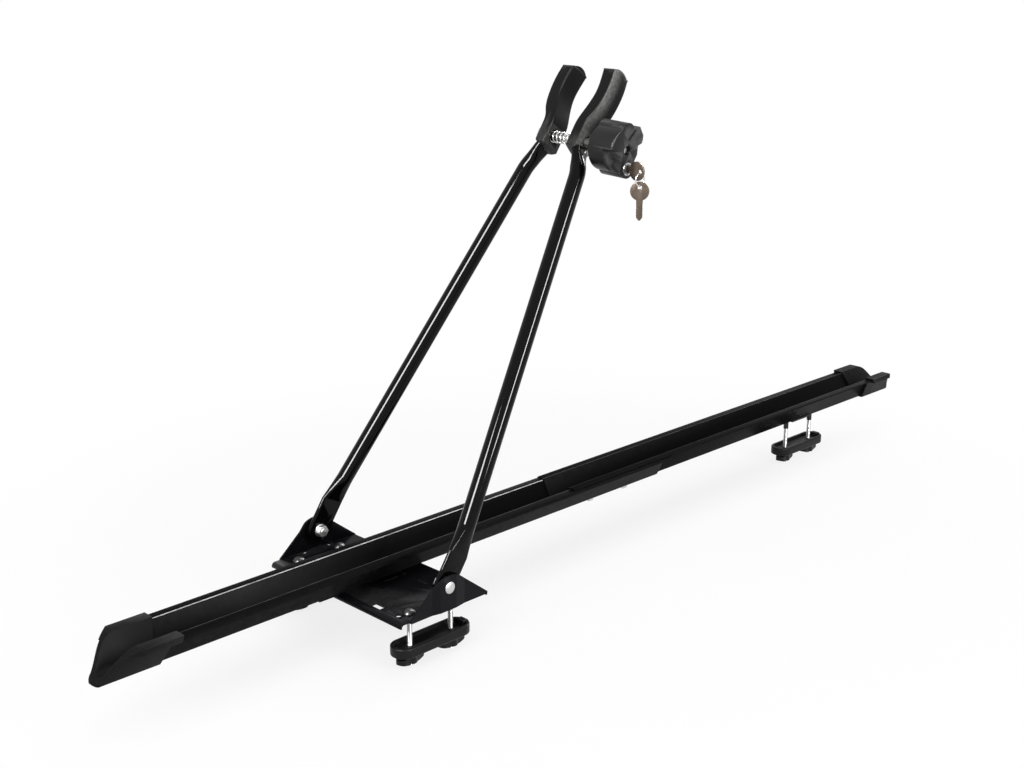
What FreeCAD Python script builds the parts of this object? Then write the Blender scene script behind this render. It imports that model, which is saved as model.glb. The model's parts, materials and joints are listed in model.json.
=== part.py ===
"""Roof carrier for one bicycle: wheel channel, base plate, hinged frame holder and bar clamps.

Millimetres. +X runs along the wheel channel to the rear, Y runs across it with the knob on
the -Y side, and +Z is up. The origin is the middle of the seat that lies on the front roof bar.
"""
import FreeCAD, Part
import math
import os

V = FreeCAD.Vector
X_AXIS, Y_AXIS, Z_AXIS = V(1, 0, 0), V(0, 1, 0), V(0, 0, 1)

# Fits shared by all the pieces
RUN_GAP = 0.3        # between pieces that move past each other
SEAT_GAP = 0.15      # between a moulding and what it is pushed on to
PIN_GAP = 0.08       # between a pin and its hole

# Base plate with its two ears
PLATE_T = 2.0
PLATE_AHEAD = 59.0   # from the middle of the front bar to the front edge
PLATE_BEHIND = 73.0
PLATE_ROLL_R = 5.0   # outer radius of the rolled front and rear edges
PLATE_ROLL_DROP = 1.0
TONGUE_L, TONGUE_W = 25.0, 15.0
EAR_T = 2.5
EAR_FACE_Y = 122.5   # outer face of the ears
EAR_H = 33.5         # above the plate
EAR_RIM_RISE = 5.5   # crown of the pocket's rim above the ear
EAR_FOOT_INSET = 13.5
EAR_FRONT_RUN = 39.5
EAR_REAR_RUN = 43.0
POCKET_AT = 8.0      # middle of the pocket along X
POCKET_W = 24.0
POCKET_DEPTH = 2.6
POCKET_FRONT_DRAFT = 10.0
POCKET_REAR_DRAFT = 15.0
SQUARE_HOLE_X, SQUARE_HOLE_Y = -45.5, 65.0
SQUARE_HOLE_L, SQUARE_HOLE_W = 8.0, 16.0
ROUND_HOLE_X, ROUND_HOLE_Y, ROUND_HOLE_R = -45.0, 100.0, 3.4
FOLD_NOTCH_X = (-11.0, 26.0)
FOLD_NOTCH_L, FOLD_NOTCH_W = 6.0, 5.0

# Rubber strips between the carrier and the roof bars
PAD_T = 3.0
PAD_STUD_GAP = 4.0   # from the strip's edge to the studs
FRONT_PAD_L = 180.0
REAR_PAD_T = 2.4

# Wheel channel in two nested lengths
RAIL_T = 1.5
RAIL_H = 34.0
RAIL_W = 72.0
RAIL_LIP_W = 11.0
RAIL_LIP_DROP = 3.0
REAR_LIP_DROP = 0.5
RAIL_FLOOR_W = 16.0
FRONT_RAIL_START = -308.0
FRONT_RAIL_END = 510.0
REAR_RAIL_START = 313.0
REAR_RAIL_END = 1040.0
NEST_RISE = 2.4      # the rear length lies this much higher
NEST_LIP_INSET = 1.8
NEST_WALL_INSET = 0.8
JOINT_BOLT_X = (378.0, 447.0)
JOINT_BOLT_R = 3.0

# Strap on the floor of the rear length, under the heads of the rear studs
STRAP_T = 1.6
STRAP_L = 100.0
STRAP_SIDE_GAP = 0.2

# Plastic end caps
CAP_SLEEVE = 27.0    # length of channel inside the cap, at the lips
CAP_SLEEVE_LOW = 13.5      # the same at the channel's floor
CAP_REACH = 63.0     # from the channel's end to the nose
CAP_HUMP_AT = 20.0   # from the channel's end to the hump
CAP_WALL = 2.4
CAP_SKIN = 1.6       # inner skin over the channel's inside
CAP_NOSE_Z = 1.5     # top of the nose above the channel's floor
CAP_NOSE_R = 6.0

# Frame holder: two tubes that swing on the ears
PIVOT_X = 10.0
PIVOT_ABOVE_PLATE = 24.5
PIVOT_R = 4.0
PIVOT_HEAD_R, PIVOT_FLANGE_T = 7.0, 1.1
LEAN = 34.3          # degrees from upright, toward the rear
TUBE_R = 10.0
TUBE_WALL = 1.5
PADDLE_Y = 115.7
PADDLE_T = 6.0
PADDLE_W = 31.0
PADDLE_LEN = 38.0    # from the pivot to where the round tube starts to form
PADDLE_BLEND = 34.0
ARM_HOLE_GAP = 0.4   # round the pivot bolt, so that a tube can swing out a little
SCREW_AT = 559.5     # from the pivot to the clamp screw
KNEE_BELOW_SCREW = 44.0
KNEE_Y = 43.5
KNEE_R = 40.0
TANG_Y = 29.0        # middle of the flattened top end, level with its end
TANG_W, TANG_T = 24.0, 11.0
TANG_BELOW_SCREW = 10.4    # the end, cut level
TANG_LEN = 9.0
TANG_BLEND = 18.0

# Jaws
JAW_W = 31.0
JAW_FACE_Y = 18.5    # half the gap between the jaws at the screw
JAW_BACK_Y = 34.5
JAW_TOP = 97.0       # above the screw
JAW_CROWN = 4.5      # how far the top falls from its middle to its corners
JAW_CORNER_R = 3.6
JAW_LUG = 21.0       # below the screw, at the lowest point
JAW_LUG_AT = 8.0     # from the rear side to that point
JAW_LUG_FRONT, JAW_LUG_REAR = 14.0, 15.5   # the same at the front and rear sides
JAW_BACK_FOOT = 10.0
JAW_HOLLOW = 10.5    # how far the gripping face is hollowed for the bicycle's tube
JAW_HOLLOW_AT = 57.0       # deepest place, above the screw
JAW_BEND_AT = 31.0         # where the jaw swings outward, above the screw
JAW_BEND_IN, JAW_BEND_OUT = 3.8, 6.3   # inner and outer faces there, from those at the screw
JAW_TIP_IN, JAW_TIP_OUT = 4.5, 4.5     # how far both faces turn back in at the top
JAW_THICK = 17.5
JAW_ROOT = 12.0      # where the jaw starts to curve, above the screw
JAW_ROUND = 2.2
JAW_BOLT_BELOW = 15.5
JAW_BOLT_R, JAW_BOLT_HEAD_R = 2.0, 3.0
JAW_BOLT_COVER = 3.5       # from the bolt's end to the gripping face
RECESS_R, RECESS_DEPTH = 9.0, 9.5
SPREAD_OPEN = 1.8    # degrees that the near tube swings out
SPREAD_CLOSE = 1.5   # and in

# Clamp screw, spring and knob
SCREW_R = 4.0
SCREW_DROOP = 3.0    # degrees that the knob end hangs down
SLOT_SPARE = 0.7     # more room round the screw in the jaw that swings
SCREW_END_Y = -97.0
END_NUT_T, END_NUT_R = 7.0, 7.4
SPRING_R = 6.7       # to the middle of the wire
WIRE_R = 0.8
SPRING_TURNS = 8     # open turns
SPRING_END_TURNS = 1
COIL_GAP = 0.6       # between the turns that close each end
BUSH_R, BUSH_NOSE_R, BUSH_NOSE_L = 8.0, 6.0, 10.0
BUSH_WASHER_R, BUSH_WASHER_T = 12.5, 3.0
JAW_BUSH_GAP = 0.75
KNOB_BACK_Y = -62.0
KNOB_L = 39.0
KNOB_R = 28.5
KNOB_LOBE_R, KNOB_LOBE_AT = 11.5, 21.5
KNOB_TOP_ANGLE = 90.0
KNOB_LOCK_ANGLE = 275.0
KNOB_LOBE_L = 23.0
KNOB_CREST_REACH = 34.0    # corner of the crest beside the top lobe
KNOB_CREST_ANGLES = (18.0, 30.0, 52.0)
KNOB_SCOOP_L = 14.0        # how deep the finger scoops go from the front
KNOB_WAIST_R = 19.5        # what the scoops leave round the screw
KNOB_LEFT_EDGE_ANGLE, KNOB_RIGHT_EDGE_ANGLE = 170.0, 15.0
KNOB_GROOVE_W, KNOB_GROOVE_DEPTH = 4.0, 2.2
KNOB_BORE_R = 5.6
KNOB_ROUND = 2.0
CLUTCH_NUT_R, CLUTCH_NUT_T = 11.0, 14.0
LOCK_AT = 22.4       # from the screw to the lock
LOCK_R, LOCK_L, LOCK_PROUD = 8.0, 30.0, 0.8
BARREL_R = 6.0
KEYWAY_W, KEYWAY_H = 2.6, 8.6

# Keys on their ring
KEY_T = 2.0
KEY_HEAD_R = 11.5
KEY_BLADE_W, KEY_BLADE_L = 8.0, 27.0
KEY_HEAD_OUT = 14.5  # from the lock's face to the middle of the head
KEY_HOLE_R, KEY_HOLE_AT = 2.6, 5.0
RING_R, RING_WIRE_R = 7.6, 0.8
SPARE_TURN = 40.0    # degrees that the spare key hangs turned

# Bar clamps: studs, bar and two wing nuts each
STUD_SPACING = 62.0
STUD_R = 3.0
FRONT_STUD_Y = 102.0
REAR_BAR_X = 861.0   # middle of the rear roof bar
FRONT_HEAD_R, FRONT_HEAD_H = 8.0, 5.0
REAR_HEAD_R, REAR_HEAD_H = 6.0, 2.6
SLEEVE_R, FRONT_SLEEVE_L, REAR_SLEEVE_L = 3.8, 5.0, 12.0
BAR_DROP = 31.0      # from the seat to the top of the clamp bar
BAR_L, BAR_W, BAR_T = 111.0, 32.0, 12.0
BAR_RIM, BAR_RECESS = 4.0, 4.0
BAR_ROUND = 1.5
BAR_BUMP = 1.5
BAR_BUMP_W = 12.0
NUT_H = 12.5
NUT_HUB_R = 8.5
NUT_WING_L, NUT_WING_W, NUT_WING_H = 42.0, 13.0, 9.0
FRONT_NUT_TURN, REAR_NUT_TURN = 9.0, 5.0   # degrees from X
STUD_TIP = 3.5       # stud below the wing nut

# Heights and places that follow from the values above
PLATE_BOTTOM = PAD_T
PLATE_TOP = PLATE_BOTTOM + PLATE_T
RAIL_BOTTOM = PLATE_TOP
PIVOT_Z = PLATE_TOP + PIVOT_ABOVE_PLATE
LEAN_RAD = math.radians(LEAN)
SCREW_X = PIVOT_X + SCREW_AT * math.sin(LEAN_RAD)
SCREW_Z = PIVOT_Z + SCREW_AT * math.cos(LEAN_RAD)
PLATE_HALF_Y = EAR_FACE_Y - EAR_T
WALL_RUN = (RAIL_W - RAIL_FLOOR_W) / 2 - RAIL_LIP_W
WALL_SLOPE = WALL_RUN / (RAIL_H - RAIL_T)
WALL_LEAN = math.hypot(1, WALL_SLOPE)
REAR_FLOOR = RAIL_BOTTOM + NEST_RISE
SPRING_SEAT_Y = JAW_FACE_Y + RECESS_DEPTH
KNOB_FACE_Y = KNOB_BACK_Y - KNOB_L
LOCK_X = SCREW_X + LOCK_AT * math.cos(math.radians(KNOB_LOCK_ANGLE))
LOCK_Z = SCREW_Z + LOCK_AT * math.sin(math.radians(KNOB_LOCK_ANGLE))
LOCK_FACE_Y = KNOB_FACE_Y - LOCK_PROUD
BAR_TOP = -BAR_DROP
NUT_TOP = BAR_TOP - BAR_T
REAR_SEAT_Z = REAR_FLOOR - REAR_PAD_T
STUD_BOTTOM = NUT_TOP - NUT_H - STUD_TIP
FRONT_STUD_X = (-STUD_SPACING / 2, STUD_SPACING / 2)
REAR_STUD_X = (REAR_BAR_X - STUD_SPACING / 2, REAR_BAR_X + STUD_SPACING / 2)


def box(x0, x1, y0, y1, z0, z1):
    return Part.makeBox(x1 - x0, y1 - y0, z1 - z0, V(x0, y0, z0))


def rod(start, axis, length, radius):
    return Part.makeCylinder(radius, length, start, axis)


def polygon(points):
    return Part.Face(Part.makePolygon(list(points) + [points[0]]))


def strip(points, thickness):
    """Closed outline of a bent sheet: the points, and the points moved left by the thickness."""
    moved = []
    last = len(points) - 1
    for i, (a, b) in enumerate(points):
        before = points[max(i - 1, 0)]
        after = points[min(i + 1, last)]
        d1 = (a - before[0], b - before[1]) if i > 0 else (after[0] - a, after[1] - b)
        d2 = (after[0] - a, after[1] - b) if i < last else d1
        n1 = (-d1[1] / math.hypot(*d1), d1[0] / math.hypot(*d1))
        n2 = (-d2[1] / math.hypot(*d2), d2[0] / math.hypot(*d2))
        scale = thickness / (1 + n1[0] * n2[0] + n1[1] * n2[1])
        moved.append((a + (n1[0] + n2[0]) * scale, b + (n1[1] + n2[1]) * scale))
    return list(points) + moved[::-1]


def along_x(outline, x0, x1):
    """Solid with this Y-Z outline between two X places."""
    return polygon([V(x0, y, z) for y, z in outline]).extrude(V(x1 - x0, 0, 0))


def obround(width, thickness, z):
    """Wire of four edges in the X-Y plane: two flats and two round ends."""
    h, r = (width - thickness) / 2, thickness / 2
    a, b, c, d = V(-h, r, z), V(h, r, z), V(h, -r, z), V(-h, -r, z)
    return Part.Wire([
        Part.makeLine(a, b),
        Part.Arc(b, V(h + r, 0, z), c).toShape(),
        Part.makeLine(c, d),
        Part.Arc(d, V(-h - r, 0, z), a).toShape(),
    ])


def circle_wire(radius, z):
    """Round wire cut in four, so that it matches an obround one edge by edge."""
    corners = [math.pi * quarter / 4 for quarter in (3, 1, -1, -3)]
    edges = []
    for i, a in enumerate(corners):
        b = corners[(i + 1) % 4]
        middle = a - math.pi / 4
        p, q, m = [V(radius * math.cos(t), radius * math.sin(t), z) for t in (a, b, middle)]
        edges.append(Part.Arc(p, m, q).toShape())
    return Part.Wire(edges)


def stadium(x0, length, width, z0, height, y=0.0):
    """Upright block with round ends, its middle at x0 and y."""
    wire = obround(length, width, 0)
    block = Part.Face(wire).extrude(V(0, 0, height))
    block.translate(V(x0, y, z0))
    return block


def leaned(shape):
    """Move a shape built upright over the pivot axis to its place on the leaning frame."""
    turned = shape.copy()
    turned.rotate(V(0, 0, 0), Y_AXIS, LEAN)
    turned.translate(V(PIVOT_X, 0, PIVOT_Z))
    return turned


def mirrored(shape):
    return shape.mirror(V(0, 0, 0), Y_AXIS)


def rail_outline(rise=0.0, lip_inset=0.0, wall_inset=0.0, drop=RAIL_LIP_DROP):
    """Lower surface of the channel from one lip's edge to the other's, as Y and Z."""
    floor = RAIL_FLOOR_W / 2 - wall_inset
    top = RAIL_BOTTOM + RAIL_H - RAIL_T + rise
    wall = RAIL_FLOOR_W / 2 + WALL_RUN - wall_inset
    edge = RAIL_W / 2 - RAIL_T - lip_inset
    half = [(floor, RAIL_BOTTOM + rise), (wall, top), (edge, top), (edge, top - drop)]
    return [(-y, z) for y, z in half[::-1]] + half


def rail(x0, x1, outline):
    solid = along_x(strip(outline, RAIL_T), x0, x1)
    long_edges = [e for e in solid.Edges if e.Length > (x1 - x0) * 0.99]
    bends = [e for e in long_edges if abs(e.CenterOfMass.z - RAIL_BOTTOM) > RAIL_T * 3]
    bends = [e for e in bends if abs(e.CenterOfMass.y) < RAIL_W / 2 - RAIL_LIP_W / 2]
    return solid.makeFillet(RAIL_T * 0.8, bends)


def front_rail():
    body = rail(FRONT_RAIL_START, FRONT_RAIL_END, rail_outline())
    for x in JOINT_BOLT_X:
        body = body.cut(rod(V(x, 0, RAIL_BOTTOM - 1), Z_AXIS, RAIL_T + 2, JOINT_BOLT_R + PIN_GAP))
    return body


def rear_rail():
    outline = rail_outline(NEST_RISE, NEST_LIP_INSET, NEST_WALL_INSET, REAR_LIP_DROP)
    body = rail(REAR_RAIL_START, REAR_RAIL_END, outline)
    for x in JOINT_BOLT_X + REAR_STUD_X:
        hole_r = JOINT_BOLT_R if x in JOINT_BOLT_X else STUD_R
        body = body.cut(rod(V(x, 0, REAR_FLOOR - 1), Z_AXIS, RAIL_T + 2, hole_r + PIN_GAP))
    return body


def rear_strap():
    """Flat strap on the floor of the rear length, which spreads the pull of the rear studs."""
    half_w = RAIL_FLOOR_W / 2 - NEST_WALL_INSET - RAIL_T * (WALL_LEAN - WALL_SLOPE) - STRAP_SIDE_GAP
    z = REAR_FLOOR + RAIL_T
    body = box(REAR_BAR_X - STRAP_L / 2, REAR_BAR_X + STRAP_L / 2, -half_w, half_w, z, z + STRAP_T)
    for x in REAR_STUD_X:
        body = body.cut(rod(V(x, 0, z - 1), Z_AXIS, STRAP_T + 2, STUD_R + PIN_GAP))
    return body


def base_plate():
    """Plate with rolled edges, and at each end an ear with an outward pocket."""
    r = PLATE_ROLL_R
    x0, x1 = -PLATE_AHEAD, PLATE_BEHIND
    top = PLATE_TOP
    rolled = [V(x0, 0, top - r - PLATE_ROLL_DROP), V(x0, 0, top - r), V(x0 + r, 0, top),
              V(x1 - r, 0, top), V(x1, 0, top - r), V(x1, 0, top - r - PLATE_ROLL_DROP)]
    turn = r * (1 - math.sqrt(0.5))
    upper = Part.Wire([
        Part.makeLine(rolled[0], rolled[1]),
        Part.Arc(rolled[1], V(x0 + turn, 0, top - turn), rolled[2]).toShape(),
        Part.makeLine(rolled[2], rolled[3]),
        Part.Arc(rolled[3], V(x1 - turn, 0, top - turn), rolled[4]).toShape(),
        Part.makeLine(rolled[4], rolled[5]),
    ])
    ri = r - PLATE_T
    turn_in = PLATE_T + ri * (1 - math.sqrt(0.5))
    a, b = x0 + PLATE_T, x1 - PLATE_T
    lower = [
        Part.makeLine(rolled[5], V(b, 0, rolled[5].z)),
        Part.makeLine(V(b, 0, rolled[5].z), V(b, 0, top - r)),
        Part.Arc(V(b, 0, top - r), V(x1 - turn_in, 0, top - turn_in),
                 V(x1 - r, 0, top - PLATE_T)).toShape(),
        Part.makeLine(V(x1 - r, 0, top - PLATE_T), V(x0 + r, 0, top - PLATE_T)),
        Part.Arc(V(x0 + r, 0, top - PLATE_T), V(x0 + turn_in, 0, top - turn_in),
                 V(a, 0, top - r)).toShape(),
        Part.makeLine(V(a, 0, top - r), V(a, 0, rolled[0].z)),
        Part.makeLine(V(a, 0, rolled[0].z), rolled[0]),
    ]
    plate = Part.Face(Part.Wire(upper.Edges + lower)).extrude(V(0, 2 * PLATE_HALF_Y, 0))
    plate.translate(V(0, -PLATE_HALF_Y, 0))
    tongue = box(x0 - TONGUE_L, x0 + 2 * r, -TONGUE_W / 2, TONGUE_W / 2, PLATE_BOTTOM, PLATE_TOP)
    near = ear()
    body = plate.fuse([tongue, near, mirrored(near)]).removeSplitter()
    low, tall = PLATE_BOTTOM - 1, PLATE_T + 2
    holes = [box(SQUARE_HOLE_X - SQUARE_HOLE_L / 2, SQUARE_HOLE_X + SQUARE_HOLE_L / 2,
                 -SQUARE_HOLE_Y - SQUARE_HOLE_W / 2, -SQUARE_HOLE_Y + SQUARE_HOLE_W / 2, low, low + tall)]
    holes.append(rod(V(ROUND_HOLE_X, -ROUND_HOLE_Y, low), Z_AXIS, tall, ROUND_HOLE_R))
    notch_end = PLATE_HALF_Y - SEAT_GAP
    for x in FOLD_NOTCH_X:
        holes.append(box(x - FOLD_NOTCH_L / 2, x + FOLD_NOTCH_L / 2, notch_end - FOLD_NOTCH_W, notch_end,
                         low, low + tall))
    for x in FRONT_STUD_X:
        for y in (-FRONT_STUD_Y, FRONT_STUD_Y):
            holes.append(rod(V(x, y, low), Z_AXIS, tall, STUD_R + PIN_GAP))
    return body.cut(holes)


def ear():
    """Near ear: a sheet with a pocket, cut to its sloping outline."""
    x0, x1 = -PLATE_AHEAD + EAR_FOOT_INSET, PLATE_BEHIND - PLATE_T
    face, deep = -EAR_FACE_Y, -EAR_FACE_Y - POCKET_DEPTH
    left, right = POCKET_AT - POCKET_W / 2, POCKET_AT + POCKET_W / 2
    path = [(x0, face), (left - POCKET_FRONT_DRAFT, face), (left, deep), (right, deep),
            (right + POCKET_REAR_DRAFT, face), (x1, face)]
    z0, z1 = PLATE_BOTTOM - PLATE_ROLL_DROP, PLATE_TOP + EAR_H + EAR_RIM_RISE + 5
    sheet = polygon([V(x, y, z0) for x, y in strip(path, EAR_T)]).extrude(V(0, 0, z1 - z0))
    top = PLATE_TOP + EAR_H
    front_top, rear_top = x0 + EAR_FRONT_RUN, x1 - EAR_REAR_RUN
    crown = V((front_top + rear_top) / 2, 0, top + EAR_RIM_RISE)
    outline = [V(x1, 0, PLATE_TOP), V(x1, 0, z0 - 1), V(x0, 0, z0 - 1), V(x0, 0, PLATE_TOP),
               V(front_top, 0, top)]
    edges = [Part.makeLine(outline[i], outline[i + 1]) for i in range(len(outline) - 1)]
    edges.append(Part.Arc(V(front_top, 0, top), crown, V(rear_top, 0, top)).toShape())
    edges.append(Part.makeLine(V(rear_top, 0, top), V(x1, 0, PLATE_TOP)))
    cutter = Part.Face(Part.Wire(edges)).extrude(V(0, 2 * (EAR_FACE_Y + POCKET_DEPTH), 0))
    cutter.translate(V(0, -2 * (EAR_FACE_Y + POCKET_DEPTH), 0))
    body = sheet.common(cutter)
    bolt = V(PIVOT_X, -EAR_FACE_Y - POCKET_DEPTH - 1, PIVOT_Z)
    return body.cut(rod(bolt, Y_AXIS, EAR_T + 2, PIVOT_R + PIN_GAP))


def pads():
    reach = STUD_SPACING / 2 - STUD_R - PAD_STUD_GAP
    front = box(-reach, reach, -FRONT_PAD_L / 2, FRONT_PAD_L / 2, 0, PAD_T)
    half_w = RAIL_FLOOR_W / 2 - NEST_WALL_INSET
    rear = box(REAR_BAR_X - reach, REAR_BAR_X + reach, -half_w, half_w, REAR_SEAT_Z, REAR_FLOOR)
    return front, rear


def end_cap(outline, slot_inset):
    """Scoop that is pushed on to the channel's end at X = 0 and reaches to +X."""
    out = CAP_WALL + SEAT_GAP
    top = RAIL_BOTTOM + RAIL_H + out
    under = RAIL_BOTTOM + RAIL_H - RAIL_T - RAIL_LIP_DROP - SEAT_GAP
    low = RAIL_BOTTOM - out
    foot = RAIL_FLOOR_W / 2 + out * (WALL_LEAN - WALL_SLOPE)
    side = RAIL_W / 2 + out
    half = [(foot, low), (foot + WALL_SLOPE * (under - low), under), (side, under), (side, top)]
    shell = along_x(half + [(-y, z) for y, z in half[::-1]], -CAP_SLEEVE, CAP_REACH)
    skin = RAIL_T + SEAT_GAP + CAP_SKIN
    inner = RAIL_FLOOR_W / 2 - slot_inset - skin * (WALL_LEAN - WALL_SLOPE)
    shell = shell.common(cap_side(low, top)).common(cap_plan(side, low, top))
    shell = shell.cut(trough(inner, RAIL_BOTTOM + skin, top + 1))
    sleeve = along_x(strip(grown(outline, SEAT_GAP), RAIL_T + 2 * SEAT_GAP), -CAP_SLEEVE - 1, SEAT_GAP)
    return shell.cut(sleeve)


def cap_plan(side, low, top):
    """Cap from above: straight sides that sweep in to a round nose."""
    run = CAP_REACH - CAP_HUMP_AT
    wide = side + CAP_WALL
    sweep = Part.BSplineCurve()
    sweep.interpolate([
        V(CAP_HUMP_AT, side + 0.5, low),
        V(CAP_HUMP_AT + run * 0.5, side * 0.63, low),
        V(CAP_REACH - run * 0.12, side * 0.28, low),
        V(CAP_REACH, 0, low),
        V(CAP_REACH - run * 0.12, -side * 0.28, low),
        V(CAP_HUMP_AT + run * 0.5, -side * 0.63, low),
        V(CAP_HUMP_AT, -side - 0.5, low),
    ])
    back = -CAP_SLEEVE
    corners = [V(CAP_HUMP_AT, -side - 0.5, low), V(CAP_HUMP_AT, -wide, low), V(back, -wide, low),
               V(back, wide, low), V(CAP_HUMP_AT, wide, low), V(CAP_HUMP_AT, side + 0.5, low)]
    edges = [sweep.toShape()]
    edges += [Part.makeLine(corners[i], corners[i + 1]) for i in range(len(corners) - 1)]
    return Part.Face(Part.Wire(edges)).extrude(V(0, 0, top - low))


def trough(inner, floor_top, top):
    """Space inside the cap: sloping walls that run into a round bottom."""
    r = inner / (WALL_LEAN - WALL_SLOPE)
    touch_y, touch_z = r / WALL_LEAN, floor_top + r - r * WALL_SLOPE / WALL_LEAN
    upper_y = touch_y + WALL_SLOPE * (top - touch_z)
    x = -CAP_SLEEVE - 1
    edges = [
        Part.makeLine(V(x, upper_y, top), V(x, touch_y, touch_z)),
        Part.Arc(V(x, touch_y, touch_z), V(x, 0, floor_top), V(x, -touch_y, touch_z)).toShape(),
        Part.makeLine(V(x, -touch_y, touch_z), V(x, -upper_y, top)),
        Part.makeLine(V(x, -upper_y, top), V(x, upper_y, top)),
    ]
    return Part.Face(Part.Wire(edges)).extrude(V(CAP_SLEEVE + CAP_REACH + 2, 0, 0))


def grown(outline, distance):
    """The lower surface of the channel moved outward, for the slot that takes it."""
    moved = strip(outline, -distance)[len(outline):][::-1]
    first, last = moved[0], moved[-1]
    moved[0] = (first[0], first[1] - distance)
    moved[-1] = (last[0], last[1] - distance)
    return moved


def cap_side(low, top):
    """Cap from the side: level lip, an S curve down from the hump, and a round nose."""
    hump, nose = CAP_HUMP_AT, CAP_REACH
    run = nose - hump
    last = V(nose - CAP_NOSE_R * 0.4, 0, RAIL_BOTTOM + CAP_NOSE_Z)
    fall = top - last.z
    curve = Part.BSplineCurve()
    curve.interpolate([
        V(hump, 0, top),
        V(hump + run * 0.46, 0, top - fall * 0.36),
        V(hump + run * 0.79, 0, top - fall * 0.9),
        last,
    ], InitialTangent=V(1, 0, -0.15), FinalTangent=V(1, 0, -0.05))
    tip = V(nose, 0, last.z - CAP_NOSE_R / 3)
    heel = V(nose - CAP_NOSE_R, 0, low)
    start, end = V(-CAP_SLEEVE, 0, top), V(-CAP_SLEEVE_LOW, 0, low)
    edges = [
        Part.makeLine(start, V(hump, 0, top)),
        curve.toShape(),
        Part.Arc(last, V(nose - CAP_NOSE_R * 0.13, 0, last.z - CAP_NOSE_R * 0.12), tip).toShape(),
        Part.Arc(tip, V(nose - CAP_NOSE_R * 0.3, 0, low + CAP_NOSE_R * 0.07), heel).toShape(),
        Part.makeLine(heel, end),
        Part.makeLine(end, start),
    ]
    body = Part.Face(Part.Wire(edges)).extrude(V(0, 4 * RAIL_W, 0))
    body.translate(V(0, -2 * RAIL_W, 0))
    return body


def front_cap():
    cap = end_cap(rail_outline(), 0.0).mirror(V(0, 0, 0), X_AXIS)
    cap.translate(V(FRONT_RAIL_START, 0, 0))
    return cap


def rear_cap():
    outline = rail_outline(0.0, NEST_LIP_INSET, NEST_WALL_INSET, REAR_LIP_DROP)
    cap = end_cap(outline, NEST_WALL_INSET)
    cap.translate(V(REAR_RAIL_END, 0, NEST_RISE))
    return cap


def joint_bolts():
    """Two bolts that hold the nested lengths together, head in the channel and nut below."""
    bolts, nuts = [], []
    floor = REAR_FLOOR + RAIL_T
    for x in JOINT_BOLT_X:
        shank = rod(V(x, 0, RAIL_BOTTOM - 6), Z_AXIS, floor - RAIL_BOTTOM + 6, JOINT_BOLT_R)
        head = Part.makeSphere(JOINT_BOLT_R * 2.4, V(x, 0, floor - JOINT_BOLT_R * 1.5))
        head = head.common(box(x - 9, x + 9, -9, 9, floor, floor + 9))
        bolts.append(shank.fuse(head))
        nuts.append(hex_nut(V(x, 0, RAIL_BOTTOM - 4.5), JOINT_BOLT_R, 4.5))
    return Part.makeCompound(bolts), Part.makeCompound(nuts)


def hex_nut(place, bore, height, axis=Z_AXIS, across=None):
    """Hexagon nut from its lower face, with its bore touching the thread's crest."""
    size = across or bore * 3.3
    corners = [V(size / math.sqrt(3) * math.cos(math.radians(60 * i)),
                 size / math.sqrt(3) * math.sin(math.radians(60 * i)), 0) for i in range(6)]
    nut = polygon(corners).extrude(V(0, 0, height))
    nut = nut.cut(rod(V(0, 0, -1), Z_AXIS, height + 2, bore + PIN_GAP))
    nut.Placement = FreeCAD.Placement(place, FreeCAD.Rotation(Z_AXIS, axis))
    return nut


def arm():
    """Near tube upright over the pivot: paddle, round tube, knee and flattened tang."""
    knee_s = SCREW_AT - KNEE_BELOW_SCREW
    tang_s = SCREW_AT - TANG_BELOW_SCREW
    slant = math.atan2(PADDLE_Y - KNEE_Y, knee_s - PADDLE_LEN)
    turn = math.atan2(KNEE_Y - TANG_Y, tang_s - knee_s) - slant
    tube_len = math.hypot(knee_s - PADDLE_LEN, PADDLE_Y - KNEE_Y)
    top_len = math.hypot(tang_s - knee_s, KNEE_Y - TANG_Y)
    cut_back = KNEE_R * math.tan(turn / 2)
    blend_at = top_len - TANG_LEN - TANG_BLEND
    end = tube_len - cut_back
    outer = tube_run(cut_back, blend_at, end, tube_len, turn, TUBE_R)
    inner = tube_run(cut_back, blend_at, end, tube_len, turn, TUBE_R - TUBE_WALL)
    tang_wire = obround(TANG_W, TANG_T, blend_at + TANG_BLEND)
    upper = Part.makeLoft([circle_wire(TUBE_R, blend_at), tang_wire], True)
    tang = Part.Face(tang_wire).extrude(V(0, 0, TANG_LEN))
    top = upper.fuse(tang)
    top.rotate(V(0, 0, 0), X_AXIS, math.degrees(-turn))
    top.translate(V(0, 0, tube_len))
    body = outer.fuse(top).cut(inner)
    ring = circle_wire(TUBE_R, PADDLE_BLEND)
    for shape in (body, ring):
        shape.rotate(V(0, 0, 0), X_AXIS, math.degrees(-slant))
        shape.translate(V(0, 0, PADDLE_LEN))
    lower = Part.makeLoft([obround(PADDLE_W, PADDLE_T, PADDLE_LEN), ring], True)
    body = body.fuse([lower, flat_paddle()]).removeSplitter()
    body.translate(V(0, -PADDLE_Y, 0))
    pivot = rod(V(0, -PADDLE_Y - PADDLE_T * 2, 0), Y_AXIS, PADDLE_T * 4, PIVOT_R + ARM_HOLE_GAP)
    fix = rod(V(0, -PADDLE_Y, SCREW_AT - JAW_BOLT_BELOW), Y_AXIS, PADDLE_Y, JAW_BOLT_R + PIN_GAP)
    above = box(-TANG_W, TANG_W, -PADDLE_Y, 0, tang_s, SCREW_AT)
    return body.cut([pivot, fix, above])


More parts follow.
